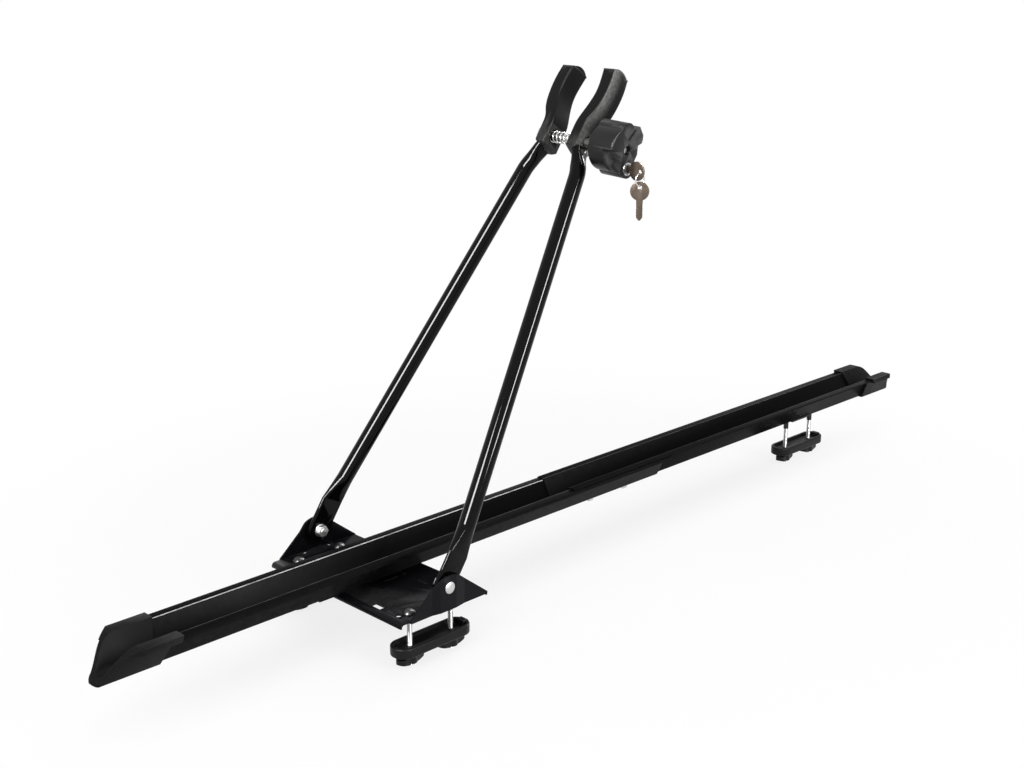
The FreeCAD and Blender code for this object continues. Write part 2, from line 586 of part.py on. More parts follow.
def tube_run(cut_back, blend_at, end, tube_len, turn, radius):
    """Round tube with its knee, straight up from the paddle's blend."""
    straight = rod(V(0, 0, PADDLE_BLEND), Z_AXIS, end - PADDLE_BLEND, radius)
    knee = knee_piece(V(0, 0, end), turn, radius)
    after = rod(V(0, 0, cut_back), Z_AXIS, blend_at - cut_back, radius)
    after.rotate(V(0, 0, 0), X_AXIS, math.degrees(-turn))
    after.translate(V(0, 0, tube_len))
    return straight.fuse([knee, after])


def flat_paddle():
    """Flattened foot of the tube, round below the pivot."""
    r = PADDLE_W / 2
    block = Part.Face(obround(PADDLE_W, PADDLE_T, -r - 1)).extrude(V(0, 0, PADDLE_LEN + r + 1))
    keep = rod(V(0, -PADDLE_T, 0), Y_AXIS, PADDLE_T * 2, r)
    keep = keep.fuse(box(-r, r, -PADDLE_T, PADDLE_T, 0, PADDLE_LEN))
    return block.common(keep)


def knee_piece(place, turn, radius):
    """Bent stretch of tube that turns toward +Y from straight up."""
    disc = Part.Face(Part.Wire(Part.makeCircle(radius, place, Z_AXIS)))
    return disc.revolve(place + V(0, KNEE_R, 0), V(-1, 0, 0), math.degrees(turn))


def jaw():
    """Near jaw upright over the pivot: a hollowed gripping face and a sloping blunt top."""
    face, back = -JAW_FACE_Y, -JAW_BACK_Y
    root, top = SCREW_AT + JAW_ROOT, SCREW_AT + JAW_TOP
    lug, foot = SCREW_AT - JAW_LUG, SCREW_AT - JAW_BACK_FOOT
    bend, deepest = SCREW_AT + JAW_BEND_AT, SCREW_AT + JAW_HOLLOW_AT
    deep = face - JAW_HOLLOW
    out = deep - JAW_THICK
    inner_top, outer_top = V(0, deep + JAW_TIP_IN, top), V(0, out + JAW_TIP_OUT, top)
    inner_bend, outer_bend = V(0, face - JAW_BEND_IN, bend), V(0, back - JAW_BEND_OUT, bend)
    inner = Part.BSplineCurve()
    inner.interpolate([V(0, face, root), inner_bend, V(0, deep, deepest), inner_top],
                      InitialTangent=V(0, 0, 1), FinalTangent=V(0, 0.15, 1))
    outer = Part.BSplineCurve()
    outer.interpolate([outer_top, V(0, out, deepest), outer_bend, V(0, back, root)],
                      InitialTangent=V(0, -0.3, -1), FinalTangent=V(0, 0, -1))
    step_y = (face + back) / 2
    edges = [
        Part.makeLine(V(0, face, lug), V(0, face, root)),
        inner.toShape(),
        Part.makeLine(inner_top, outer_top),
        outer.toShape(),
        Part.makeLine(V(0, back, root), V(0, back, foot)),
        Part.makeLine(V(0, back, foot), V(0, step_y, lug)),
        Part.makeLine(V(0, step_y, lug), V(0, face, lug)),
    ]
    side = Part.Face(Part.Wire(edges)).extrude(V(JAW_W, 0, 0))
    side.translate(V(-JAW_W / 2, 0, 0))
    body = side.common(jaw_front(lug, top))
    body = body.makeFillet(JAW_ROUND, [e for e in body.Edges if round_this(e)])
    return body.cut(rod(V(0, face - RECESS_DEPTH, SCREW_AT), Y_AXIS, RECESS_DEPTH + 1, RECESS_R))


def jaw_front(lug, top):
    """Jaw seen across the carrier: straight sides, a round top and a pointed foot."""
    h = JAW_W / 2
    r = JAW_CORNER_R
    deep = 3 * JAW_BACK_Y
    side_top, shoulder = top - JAW_CROWN - r, top - JAW_CROWN + r * 0.2
    turn = r * (1 - math.sqrt(0.5))
    foot_front, foot_rear = SCREW_AT - JAW_LUG_FRONT, SCREW_AT - JAW_LUG_REAR
    front = V(-h, -deep, side_top)
    rear = V(h, -deep, side_top)
    front_corner = Part.Arc(front, V(turn - h, -deep, shoulder - turn), V(r - h, -deep, shoulder))
    crown = Part.Arc(V(r - h, -deep, shoulder), V(0, -deep, top), V(h - r, -deep, shoulder))
    rear_corner = Part.Arc(V(h - r, -deep, shoulder), V(h - turn, -deep, shoulder - turn), rear)
    foot = [rear, V(h, -deep, foot_rear), V(h - JAW_LUG_AT, -deep, lug), V(-h, -deep, foot_front), front]
    edges = [front_corner.toShape(), crown.toShape(), rear_corner.toShape()]
    edges += [Part.makeLine(foot[i], foot[i + 1]) for i in range(len(foot) - 1)]
    return Part.Face(Part.Wire(edges)).extrude(V(0, deep, 0))


def round_this(edge):
    """The long edges of a jaw, and those round its top."""
    return edge.Length > JAW_W * 0.7 and abs(edge.CenterOfMass.x) > JAW_W * 0.3


def jaw_with_slots(opens, closes):
    """Near jaw in place, with the tube's socket, the bolt's hole and the screw's slot."""
    body = jaw().cut(tang_space())
    cover = JAW_FACE_Y + JAW_BOLT_COVER - PIN_GAP
    depth = 2 * JAW_BACK_Y
    bolt_hole = rod(V(0, -depth, SCREW_AT - JAW_BOLT_BELOW), Y_AXIS, depth - cover, JAW_BOLT_R + PIN_GAP)
    body = leaned(body.cut(bolt_hole))
    r = SCREW_R + RUN_GAP + (SLOT_SPARE if opens > 0 else 0)
    reach = PADDLE_Y - JAW_FACE_Y
    low = SCREW_AT - reach * math.sin(math.radians(opens))
    sink = SCREW_AT * (1 - math.cos(math.radians(closes)))
    high = SCREW_AT + reach * math.sin(math.radians(closes)) + sink
    hole = rod(V(0, -depth, low), Y_AXIS, depth, r)
    if high > low:
        hole = hole.fuse([rod(V(0, -depth, high), Y_AXIS, depth, r), box(-r, r, -depth, 0, low, high)])
    return body, leaned(hole)


def drooped(shape):
    """Turn a shape built level round the screw to the way the screw hangs, knob end down."""
    turned = shape.copy()
    turned.rotate(V(SCREW_X, 0, SCREW_Z), X_AXIS, SCREW_DROOP)
    return turned


def tang_space():
    """Room for the flattened tube end, a little larger than the end itself."""
    knee_s = SCREW_AT - KNEE_BELOW_SCREW
    tang_s = SCREW_AT - TANG_BELOW_SCREW
    bend = math.atan2(KNEE_Y - TANG_Y, tang_s - knee_s)
    g = SEAT_GAP
    tail = Part.Face(obround(TANG_W + 2 * g, TANG_T + 2 * g, -TANG_LEN)).extrude(V(0, 0, TANG_LEN + g))
    flare = Part.makeLoft([circle_wire(TUBE_R + g, -TANG_LEN - TANG_BLEND),
                           obround(TANG_W + 2 * g, TANG_T + 2 * g, -TANG_LEN)], True)
    space = tail.fuse(flare)
    space.rotate(V(0, 0, 0), X_AXIS, math.degrees(-bend))
    space.translate(V(0, -TANG_Y, tang_s))
    return space


def jaw_bolt():
    """Small bolt through jaw and tube end, on the near side, with its head outside."""
    z = SCREW_AT - JAW_BOLT_BELOW
    outer = -JAW_BACK_Y - 9.5
    shank = rod(V(0, outer, z), Y_AXIS, -JAW_FACE_Y - JAW_BOLT_COVER - outer, JAW_BOLT_R)
    head = rod(V(0, outer, z), Y_AXIS, JAW_BOLT_R, JAW_BOLT_HEAD_R)
    return shank.fuse(head)


def pivot_hardware(side):
    """Bolt from outside the ear, spacer in the pocket, washer and nut inside, on one side."""
    outer = EAR_FACE_Y + POCKET_DEPTH
    inner = PADDLE_Y - PADDLE_T / 2
    bolt_in = inner - 9.0
    head = rod(V(PIVOT_X, outer, PIVOT_Z), Y_AXIS, PIVOT_FLANGE_T, PIVOT_HEAD_R)
    cone = Part.makeCone(PIVOT_HEAD_R, PIVOT_HEAD_R * 0.65, PIVOT_FLANGE_T,
                         V(PIVOT_X, outer + PIVOT_FLANGE_T, PIVOT_Z), Y_AXIS)
    shank = rod(V(PIVOT_X, bolt_in, PIVOT_Z), Y_AXIS, outer - bolt_in, PIVOT_R)
    bolt = shank.fuse([head, cone])
    space = outer - EAR_T - (PADDLE_Y + PADDLE_T / 2) - RUN_GAP
    spacer = rod(V(PIVOT_X, outer - EAR_T - space, PIVOT_Z), Y_AXIS, space, PIVOT_R * 1.8)
    spacer = spacer.cut(rod(V(PIVOT_X, inner, PIVOT_Z), Y_AXIS, 30, PIVOT_R + PIN_GAP))
    washer = rod(V(PIVOT_X, inner - RUN_GAP - 1.2, PIVOT_Z), Y_AXIS, 1.2, PIVOT_R * 2)
    nut = hex_nut(V(PIVOT_X, inner - RUN_GAP - 7.4, PIVOT_Z), PIVOT_R, 6.2, Y_AXIS, 13.0)
    nut = nut.fuse(washer).cut(rod(V(PIVOT_X, inner - 20, PIVOT_Z), Y_AXIS, 30, PIVOT_R + PIN_GAP))
    pieces = [bolt, spacer, nut]
    if side < 0:
        pieces = [mirrored(p) for p in pieces]
    return pieces


def clamp_screw():
    """Stud through both jaws with its nut against the far jaw's back."""
    far = JAW_BACK_Y + END_NUT_T + 4
    screw = rod(V(SCREW_X, SCREW_END_Y, SCREW_Z), Y_AXIS, far - SCREW_END_Y, SCREW_R)
    seat = JAW_BACK_Y + SEAT_GAP + END_NUT_R * 1.2 * math.sin(math.radians(SCREW_DROOP))
    nut = hex_nut(V(SCREW_X, seat, SCREW_Z), SCREW_R, END_NUT_T, Y_AXIS, END_NUT_R * 2)
    return drooped(screw), drooped(nut)


def biarc(p0, t0, p1, t1):
    """Two arcs from p0 to p1 that leave along t0 and arrive along t1."""
    v = p1 - p0
    t = t0 + t1
    a = 2 * (1 - t0.dot(t1))
    b = 2 * v.dot(t)
    c = -v.dot(v)
    d = (-b + math.sqrt(b * b - 4 * a * c)) / (2 * a)
    joint = (p0 + t0 * d + p1 - t1 * d) * 0.5
    return [tangent_arc(p0, t0, joint), tangent_arc(p1, t1 * -1, joint)]


def tangent_arc(start, tangent, end):
    """Arc from start, leaving along the tangent, to end."""
    chord = end - start
    side = chord - tangent * chord.dot(tangent)
    side.normalize()
    radius = chord.dot(chord) / (2 * chord.dot(side))
    centre = start + side * radius
    middle = (start + end) * 0.5 - centre
    middle.normalize()
    return Part.Arc(start, centre + middle * radius, end).toShape()


def coil_nodes():
    """Points and directions of the spring's wire at each half turn, from the far seat."""
    closed = 2 * WIRE_R + COIL_GAP
    seats = 2 * (SPRING_SEAT_Y - RUN_GAP - WIRE_R)
    steps = 2 * (SPRING_TURNS + 2 * SPRING_END_TURNS)
    share = [0.0 if min(i, steps - 1 - i) < 2 * SPRING_END_TURNS else 1.0 for i in range(steps)]
    opening = (seats - steps * closed / 2) / (sum(share) / 2)
    rises = [(closed + opening * s) / 2 for s in share]
    nodes = []
    y = seats / 2
    for i in range(steps + 1):
        angle = math.pi * i
        before = rises[max(i - 1, 0)]
        after = rises[min(i, steps - 1)]
        point = V(SPRING_R * math.cos(angle), y, SPRING_R * math.sin(angle))
        slope = -(before + after) / 2 / math.pi
        tangent = V(-SPRING_R * math.sin(angle), slope, SPRING_R * math.cos(angle))
        tangent.normalize()
        nodes.append((point, tangent))
        if i < steps:
            y -= rises[i]
    return nodes


def spring():
    """Compression spring round the screw as one unbroken wire, with straight ends."""
    nodes = coil_nodes()
    edges = []
    (p0, t0), (p1, t1) = nodes[0], nodes[-1]
    edges.append(Part.makeLine(p0 - t0 * (2 * WIRE_R), p0))
    for (a, ta), (b, tb) in zip(nodes[:-1], nodes[1:]):
        edges += biarc(a, ta, b, tb)
    edges.append(Part.makeLine(p1, p1 + t1 * (2 * WIRE_R)))
    path = Part.Wire(Part.__sortEdges__(edges))
    profile = Part.Wire(Part.makeCircle(WIRE_R, p0 - t0 * (2 * WIRE_R), t0))
    coil = path.makePipeShell([profile], True, False)
    print("spring: least gap to itself", round(coil_gap(edges), 2), "mm")
    coil.translate(V(SCREW_X, 0, SCREW_Z))
    return coil


def coil_gap(edges):
    """Least distance between stretches of wire more than half a turn apart."""
    points = []
    for edge in edges:
        points += edge.discretize(9)[:-1]
    skip = int(len(points) / (SPRING_TURNS + 2 * SPRING_END_TURNS) * 0.5)
    least = min(a.distanceToPoint(b) for i, a in enumerate(points) for b in points[i + skip:])
    return least - 2 * WIRE_R


def thrust_bush():
    """Bush on the screw between the near jaw and the knob, with a nose and a washer."""
    start = -JAW_BACK_Y - JAW_BUSH_GAP
    length = start - KNOB_BACK_Y
    nose = rod(V(SCREW_X, start, SCREW_Z), -Y_AXIS, BUSH_NOSE_L, BUSH_NOSE_R)
    body = rod(V(SCREW_X, start - BUSH_NOSE_L, SCREW_Z), -Y_AXIS, length - BUSH_NOSE_L, BUSH_R)
    washer = rod(V(SCREW_X, KNOB_BACK_Y + BUSH_WASHER_T, SCREW_Z), -Y_AXIS, BUSH_WASHER_T, BUSH_WASHER_R)
    body = body.fuse([nose, washer])
    bore = rod(V(SCREW_X, start + 1, SCREW_Z), -Y_AXIS, length + 2, SCREW_R + PIN_GAP)
    return drooped(body.cut(bore))


def clutch_nut():
    """Round nut inside the knob that runs on the screw."""
    start = KNOB_BACK_Y - RUN_GAP
    nut = rod(V(SCREW_X, start, SCREW_Z), -Y_AXIS, CLUTCH_NUT_T, CLUTCH_NUT_R)
    bore = rod(V(SCREW_X, start + 1, SCREW_Z), -Y_AXIS, CLUTCH_NUT_T + 2, SCREW_R + PIN_GAP)
    return drooped(nut.cut(bore))


def knob_place(radius, degrees):
    angle = math.radians(degrees)
    return V(SCREW_X + radius * math.cos(angle), 0, SCREW_Z + radius * math.sin(angle))


def knob_prism(points, y0, y1):
    """Prism along Y on points given as radius and angle round the screw."""
    flat = [knob_place(radius, degrees) + V(0, y0, 0) for radius, degrees in points]
    return polygon(flat).extrude(V(0, y1 - y0, 0))


def knob_body():
    """Whole knob before it is parted: drum, lobes, crest, scoops, bore and lock hole."""
    back = KNOB_BACK_Y - RUN_GAP
    front = KNOB_FACE_Y
    drum = rod(V(SCREW_X, back, SCREW_Z), -Y_AXIS, back - front, KNOB_R)
    drum = drum.makeFillet(KNOB_ROUND, drum.Edges[:1] + drum.Edges[2:3])
    scoop_end = front + KNOB_SCOOP_L
    far_out = 2 * KNOB_R
    left = [(KNOB_R + 2, KNOB_LEFT_EDGE_ANGLE), (KNOB_WAIST_R * 0.6, 218.0), (KNOB_WAIST_R, 240.0),
            (KNOB_R * 1.1, 247.0), (far_out, 240.0), (far_out, 190.0)]
    right = [(KNOB_R + 2, KNOB_RIGHT_EDGE_ANGLE), (KNOB_WAIST_R, KNOB_RIGHT_EDGE_ANGLE - 3),
             (KNOB_WAIST_R, -20.0), (KNOB_WAIST_R, -45.0), (KNOB_R * 1.1, -58.0), (far_out, -45.0),
             (far_out, 0.0)]
    body = drum
    for outline in (left, right):
        body = body.cut(knob_prism(outline, front - 1, scoop_end))
    low, middle, high = KNOB_CREST_ANGLES
    crest = [(KNOB_WAIST_R * 0.5, 10.0), (KNOB_R, low), (KNOB_CREST_REACH - 2, middle),
             (KNOB_CREST_REACH, high), (KNOB_WAIST_R, 70.0)]
    lobes = [knob_prism(crest, front, front + KNOB_LOBE_L)]
    place = knob_place(KNOB_LOBE_AT, KNOB_TOP_ANGLE)
    lobes.append(rod(V(place.x, back, place.z), -Y_AXIS, back - front, KNOB_LOBE_R))
    place = knob_place(KNOB_LOBE_AT + 1, KNOB_LOCK_ANGLE)
    lobes.append(rod(V(place.x, back - 3, place.z), -Y_AXIS, back - front - 3, KNOB_LOBE_R))
    body = body.fuse(lobes)
    half_w = KNOB_GROOVE_W / 2
    groove = box(0, far_out, front - 1, front + KNOB_GROOVE_DEPTH, -half_w, half_w)
    groove.rotate(V(0, 0, 0), Y_AXIS, -45)
    start = knob_place(KNOB_WAIST_R * 0.62, 85.0)
    groove.translate(V(start.x, 0, start.z))
    body = body.cut(groove)
    body = body.cut(rod(V(SCREW_X, back + 1, SCREW_Z), -Y_AXIS, back - front + 2, KNOB_BORE_R))
    body = body.cut(rod(V(SCREW_X, back + 1, SCREW_Z), -Y_AXIS, 1 + CLUTCH_NUT_T + 2 * RUN_GAP,
                        CLUTCH_NUT_R + RUN_GAP))
    return body.cut(rod(V(LOCK_X, front - 2, LOCK_Z), Y_AXIS, LOCK_L - LOCK_PROUD + 2, LOCK_R))


def knob_halves():
    """Upper and lower mouldings, parted level with the screw."""
    body = knob_body()
    big = 3 * KNOB_R
    upper = body.common(box(SCREW_X - big, SCREW_X + big, KNOB_FACE_Y - 5, 0, SCREW_Z, SCREW_Z + big))
    lower = body.common(box(SCREW_X - big, SCREW_X + big, KNOB_FACE_Y - 5, 0, SCREW_Z - big, SCREW_Z))
    return drooped(upper), drooped(lower)


def lock_housing():
    case = rod(V(LOCK_X, LOCK_FACE_Y, LOCK_Z), Y_AXIS, LOCK_L, LOCK_R)
    bore = rod(V(LOCK_X, LOCK_FACE_Y - 1, LOCK_Z), Y_AXIS, LOCK_L - 2, BARREL_R + PIN_GAP)
    return drooped(case.cut(bore))


def lock_barrel():
    length = LOCK_L - 3 - RUN_GAP
    barrel = rod(V(LOCK_X, LOCK_FACE_Y, LOCK_Z), Y_AXIS, length, BARREL_R)
    slot = box(LOCK_X - KEYWAY_W / 2, LOCK_X + KEYWAY_W / 2, LOCK_FACE_Y - 1, LOCK_FACE_Y + length - 2,
               LOCK_Z - KEYWAY_H / 2, LOCK_Z + KEYWAY_H / 2)
    return drooped(barrel.cut(slot))


def key_blank():
    """Key in the Y-Z plane: head at the origin, blade toward +Y, hole toward -Y."""
    head = rod(V(-KEY_T / 2, 0, 0), X_AXIS, KEY_T, KEY_HEAD_R)
    w = KEY_BLADE_W / 2
    reach = KEY_HEAD_R - 3 + KEY_BLADE_L
    blade = [(KEY_HEAD_R - 4, -w), (reach - w, -w), (reach, -w * 0.2), (reach, w * 0.2), (reach - w, w),
             (KEY_HEAD_R - 4, w)]
    plate = polygon([V(-KEY_T / 2, y, z) for y, z in blade]).extrude(V(KEY_T, 0, 0))
    key = head.fuse(plate)
    return key.cut(rod(V(-KEY_T, -KEY_HOLE_AT, 0), X_AXIS, KEY_T * 2, KEY_HOLE_R))


def key_ring_place():
    """Middle of the ring that hangs in the hole of the key in the lock."""
    hole = drooped(Part.Vertex(LOCK_X, LOCK_FACE_Y - KEY_HEAD_OUT - KEY_HOLE_AT, LOCK_Z)).Point
    wire_z = hole.z - KEY_HOLE_R + RING_WIRE_R + RUN_GAP
    return V(hole.x, hole.y, wire_z - RING_R)


def keys():
    """Key in the lock, ring, and the spare key that hangs on it."""
    first = key_blank()
    first.translate(V(LOCK_X, LOCK_FACE_Y - KEY_HEAD_OUT, LOCK_Z))
    centre = key_ring_place()
    ring = Part.makeTorus(RING_R, RING_WIRE_R, centre, Y_AXIS)
    spare = key_blank()
    spare.rotate(V(0, 0, 0), X_AXIS, -90)
    spare.rotate(V(0, 0, 0), Z_AXIS, SPARE_TURN)
    spare.translate(V(centre.x, centre.y, spare_hole_z(centre) - KEY_HOLE_AT))
    return drooped(first), ring, spare


def spare_hole_z(ring_centre):
    """Height of the spare key's hole, which hangs on the ring's wire and stands askew to it."""
    return ring_centre.z - RING_R - (KEY_HOLE_R - RING_WIRE_R - 2 * RUN_GAP)


def stud(x, y, head_z, head_r, head_h):
    """Carriage bolt that hangs from head_z down to the wing nut's tip."""
    body = rod(V(x, y, STUD_BOTTOM), Z_AXIS, head_z - STUD_BOTTOM, STUD_R)
    ball_r = (head_r ** 2 + head_h ** 2) / (2 * head_h)
    head = Part.makeSphere(ball_r, V(x, y, head_z + head_h - ball_r))
    head = head.common(rod(V(x, y, head_z), Z_AXIS, 2 * head_h, head_r))
    return body.fuse(head)


def sleeve(x, y, top, length):
    tube = rod(V(x, y, top - length), Z_AXIS, length, SLEEVE_R)
    return tube.cut(rod(V(x, y, top - length - 1), Z_AXIS, length + 2, STUD_R + PIN_GAP))


def clamp_bar(x, y):
    """Oblong bar with a recessed top, two stud holes and a low bump at its rear end."""
    bar = stadium(x, BAR_L, BAR_W, NUT_TOP, BAR_T, y)
    middle = (BAR_TOP + NUT_TOP) / 2
    rims = [e for e in bar.Edges if abs(e.CenterOfMass.z - middle) > BAR_T * 0.49]
    bar = bar.makeFillet(BAR_ROUND, rims)
    floor = BAR_TOP - BAR_RECESS
    bar = bar.cut(stadium(x, BAR_L - 2 * BAR_RIM, BAR_W - 2 * BAR_RIM, floor, BAR_RECESS + 1, y))
    edge = x + BAR_L / 2 - BAR_RIM / 2
    crest = BAR_TOP + BAR_BUMP
    bump = box(edge - 2 * BAR_RIM, edge, y - BAR_BUMP_W / 2, y + BAR_BUMP_W / 2, floor, crest)
    upper_edges = [e for e in bump.Edges if e.CenterOfMass.z > crest - 0.1 * BAR_BUMP]
    bump = bump.makeFillet(BAR_BUMP * 0.9, upper_edges)
    bar = bar.fuse(bump)
    for side in (-1, 1):
        hole = rod(V(x + side * STUD_SPACING / 2, y, NUT_TOP - 1), Z_AXIS, BAR_T + 2, STUD_R + RUN_GAP)
        bar = bar.cut(hole)
    return bar


def wing_nut(x, y, turn):
    """Round hub with a wing block below it, under the clamp bar."""
    top = NUT_TOP - RUN_GAP
    h = NUT_H - RUN_GAP
    hub = Part.makeCone(NUT_HUB_R - 1.5, NUT_HUB_R, h, V(0, 0, -h))
    hub.rotate(V(0, 0, -h / 2), X_AXIS, 180)
    wings = stadium(0, NUT_WING_L, NUT_WING_W, -h, NUT_WING_H)
    for side in (-1, 1):
        slant = polygon([V(side * NUT_HUB_R, 0, -h), V(side * NUT_WING_L, 0, -h),
                         V(side * NUT_WING_L, 0, -h + NUT_WING_H)])
        slant = slant.extrude(V(0, 2 * NUT_WING_W, 0))
        slant.translate(V(0, -NUT_WING_W, 0))
        wings = wings.cut(slant)
    nut = hub.fuse(wings).cut(rod(V(0, 0, -h - 1), Z_AXIS, h + 2, STUD_R + PIN_GAP))
    nut.rotate(V(0, 0, 0), Z_AXIS, turn)
    nut.translate(V(x, y, top))
    return nut


def build():
    """All nodes by name."""
    front_pad, rear_pad = pads()
    bolts, bolt_nuts = joint_bolts()
    screw, screw_nut = clamp_screw()
    upper_half, lower_half = knob_halves()
    key, ring, spare = keys()
    near_arm = arm()
    near_jaw, near_slot = jaw_with_slots(SPREAD_OPEN, SPREAD_CLOSE)
    far_jaw, far_hole = jaw_with_slots(0.0, 0.0)
    fix = jaw_bolt()
    near_side = pivot_hardware(-1)
    far_side = pivot_hardware(1)
    shapes = {
        "base_plate": base_plate(),
        "front_bar_pad": front_pad,
        "rear_bar_pad": rear_pad,
        "front_rail": front_rail(),
        "rear_rail": rear_rail(),
        "rear_strap": rear_strap(),
        "front_end_cap": front_cap(),
        "rear_end_cap": rear_cap(),
        "joint_bolts": bolts,
        "joint_nuts": bolt_nuts,
        "pivot_bolts": Part.makeCompound([near_side[0], far_side[0]]),
        "pivot_spacers": Part.makeCompound([near_side[1], far_side[1]]),
        "pivot_nuts": Part.makeCompound([near_side[2], far_side[2]]),
        "far_arm_tube": leaned(mirrored(near_arm)),
        "near_arm_tube": leaned(near_arm),
        "far_jaw": mirrored(far_jaw).cut(drooped(mirrored(far_hole))),
        "near_jaw": near_jaw.cut(drooped(near_slot)),
        "far_jaw_bolt": leaned(mirrored(fix)),
        "near_jaw_bolt": leaned(fix),
        "clamp_screw": screw,
        "clamp_screw_nut": screw_nut,
        "jaw_spring": spring(),
        "thrust_bush": thrust_bush(),
        "clutch_nut": clutch_nut(),
        "knob_upper_half": upper_half,
        "knob_lower_half": lower_half,
        "lock_housing": lock_housing(),
        "lock_barrel": lock_barrel(),
        "key_in_lock": key,
        "key_ring": ring,
        "spare_key": spare,
    }
    places = {"near": (0, -FRONT_STUD_Y), "far": (0, FRONT_STUD_Y), "rear": (REAR_BAR_X, 0)}
    for name, (x, y) in places.items():
        head = (PLATE_TOP, FRONT_HEAD_R, FRONT_HEAD_H)
        under, length = PLATE_BOTTOM, FRONT_SLEEVE_L
        if name == "rear":
            head = (REAR_FLOOR + RAIL_T + STRAP_T, REAR_HEAD_R, REAR_HEAD_H)
            under, length = REAR_FLOOR, REAR_SLEEVE_L
        pair = [x - STUD_SPACING / 2, x + STUD_SPACING / 2]
        shapes[name + "_clamp_studs"] = Part.makeCompound([stud(a, y, *head) for a in pair])
        shapes[name + "_stud_sleeves"] = Part.makeCompound([sleeve(a, y, under, length) for a in pair])
        shapes[name + "_clamp_bar"] = clamp_bar(x, y)
        shapes[name + "_wing_nut_front"] = wing_nut(pair[0], y, FRONT_NUT_TURN)
        shapes[name + "_wing_nut_rear"] = wing_nut(pair[1], y, REAR_NUT_TURN)
    return shapes


os.makedirs("parts", exist_ok=True)
for node, shape in build().items():
    if not shape.isValid():
        print("not valid:", node)
    shape.exportStep("parts/" + node + ".step")
print("origin to nose", round(FRONT_RAIL_START - CAP_REACH, 1), "to", round(REAR_RAIL_END + CAP_REACH, 1))
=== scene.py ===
import json
import math
import bpy
from mathutils import Matrix, Vector

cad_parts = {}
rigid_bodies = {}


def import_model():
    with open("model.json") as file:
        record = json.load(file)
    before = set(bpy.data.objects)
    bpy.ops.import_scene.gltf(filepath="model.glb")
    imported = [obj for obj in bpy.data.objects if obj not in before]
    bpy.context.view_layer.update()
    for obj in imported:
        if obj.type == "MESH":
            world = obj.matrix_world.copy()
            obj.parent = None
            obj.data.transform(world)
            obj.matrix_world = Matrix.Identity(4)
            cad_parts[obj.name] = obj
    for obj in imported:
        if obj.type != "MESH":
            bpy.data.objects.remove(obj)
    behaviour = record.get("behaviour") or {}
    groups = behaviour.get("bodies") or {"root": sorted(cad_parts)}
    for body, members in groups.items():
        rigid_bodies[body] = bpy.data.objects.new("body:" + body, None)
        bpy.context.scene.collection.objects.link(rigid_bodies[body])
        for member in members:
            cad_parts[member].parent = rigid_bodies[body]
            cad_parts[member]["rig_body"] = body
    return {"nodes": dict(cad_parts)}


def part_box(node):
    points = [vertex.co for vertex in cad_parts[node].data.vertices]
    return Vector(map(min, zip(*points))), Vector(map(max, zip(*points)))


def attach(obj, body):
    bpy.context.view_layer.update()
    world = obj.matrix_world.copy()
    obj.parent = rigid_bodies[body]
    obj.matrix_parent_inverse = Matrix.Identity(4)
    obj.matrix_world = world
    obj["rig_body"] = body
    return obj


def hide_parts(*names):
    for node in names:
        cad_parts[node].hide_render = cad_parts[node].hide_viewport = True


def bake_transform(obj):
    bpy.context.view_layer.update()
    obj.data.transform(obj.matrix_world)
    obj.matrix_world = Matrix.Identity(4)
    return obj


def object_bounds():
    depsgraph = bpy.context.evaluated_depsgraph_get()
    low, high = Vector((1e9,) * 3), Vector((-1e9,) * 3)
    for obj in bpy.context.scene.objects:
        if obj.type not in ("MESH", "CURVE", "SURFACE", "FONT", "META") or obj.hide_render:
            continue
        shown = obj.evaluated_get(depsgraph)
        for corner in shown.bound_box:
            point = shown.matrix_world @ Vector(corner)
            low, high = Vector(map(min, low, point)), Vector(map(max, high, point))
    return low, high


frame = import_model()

cad_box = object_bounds()
nodes = frame["nodes"]
bpy.ops.object.select_all(action="DESELECT")

# The studio: a white sweep under large soft lamps, seen from the place of the photograph.
# Brighter gleam lamps add the thin bright lines that the gloss black tubes and channel carry.
SENSOR_WIDTH = 36
PHOTO_WIDTH_PIXELS = 1024
FOCAL_PIXELS = 1500
CAMERA_PLACE = (-1.0273, -1.2778, 0.7385)
CAMERA_DIP = 16.86
CAMERA_ROLL = 0.04
CAMERA_TURN = -44.59
camera_data = bpy.data.cameras.new("photo_camera")
camera_data.lens = SENSOR_WIDTH * FOCAL_PIXELS / PHOTO_WIDTH_PIXELS
camera_data.sensor_width = SENSOR_WIDTH
camera_data.clip_end = 60
camera = bpy.data.objects.new("photo_camera", camera_data)
camera.location = CAMERA_PLACE
camera.rotation_euler = (math.radians(90 - CAMERA_DIP), math.radians(CAMERA_ROLL), math.radians(CAMERA_TURN))
bpy.context.scene.collection.objects.link(camera)
bpy.context.scene.camera = camera
bpy.context.scene.view_settings.view_transform = "Standard"


def studio_lamp(name, place, target, along, width, length, power, gleam=False):
    """Flat lamp that faces the target, its length laid as near to the given way as that allows.

    A plain lamp lights surfaces softly and isn't mirrored. A gleam lamp is seen only where a gloss
    surface mirrors it, so that it doesn't raise the level of the light.
    """
    lamp_data = bpy.data.lights.new(name, "AREA")
    lamp_data.shape = "RECTANGLE"
    lamp_data.size = width
    lamp_data.size_y = length
    lamp_data.energy = power
    back = (Vector(place) - Vector(target)).normalized()
    side = Vector(along).cross(back).normalized()
    lamp = bpy.data.objects.new(name, lamp_data)
    lamp.rotation_euler = Matrix((side, back.cross(side), back)).transposed().to_euler()
    lamp.location = place
    lamp.visible_camera = False
    lamp.visible_diffuse = not gleam
    lamp.visible_glossy = gleam
    bpy.context.scene.collection.objects.link(lamp)


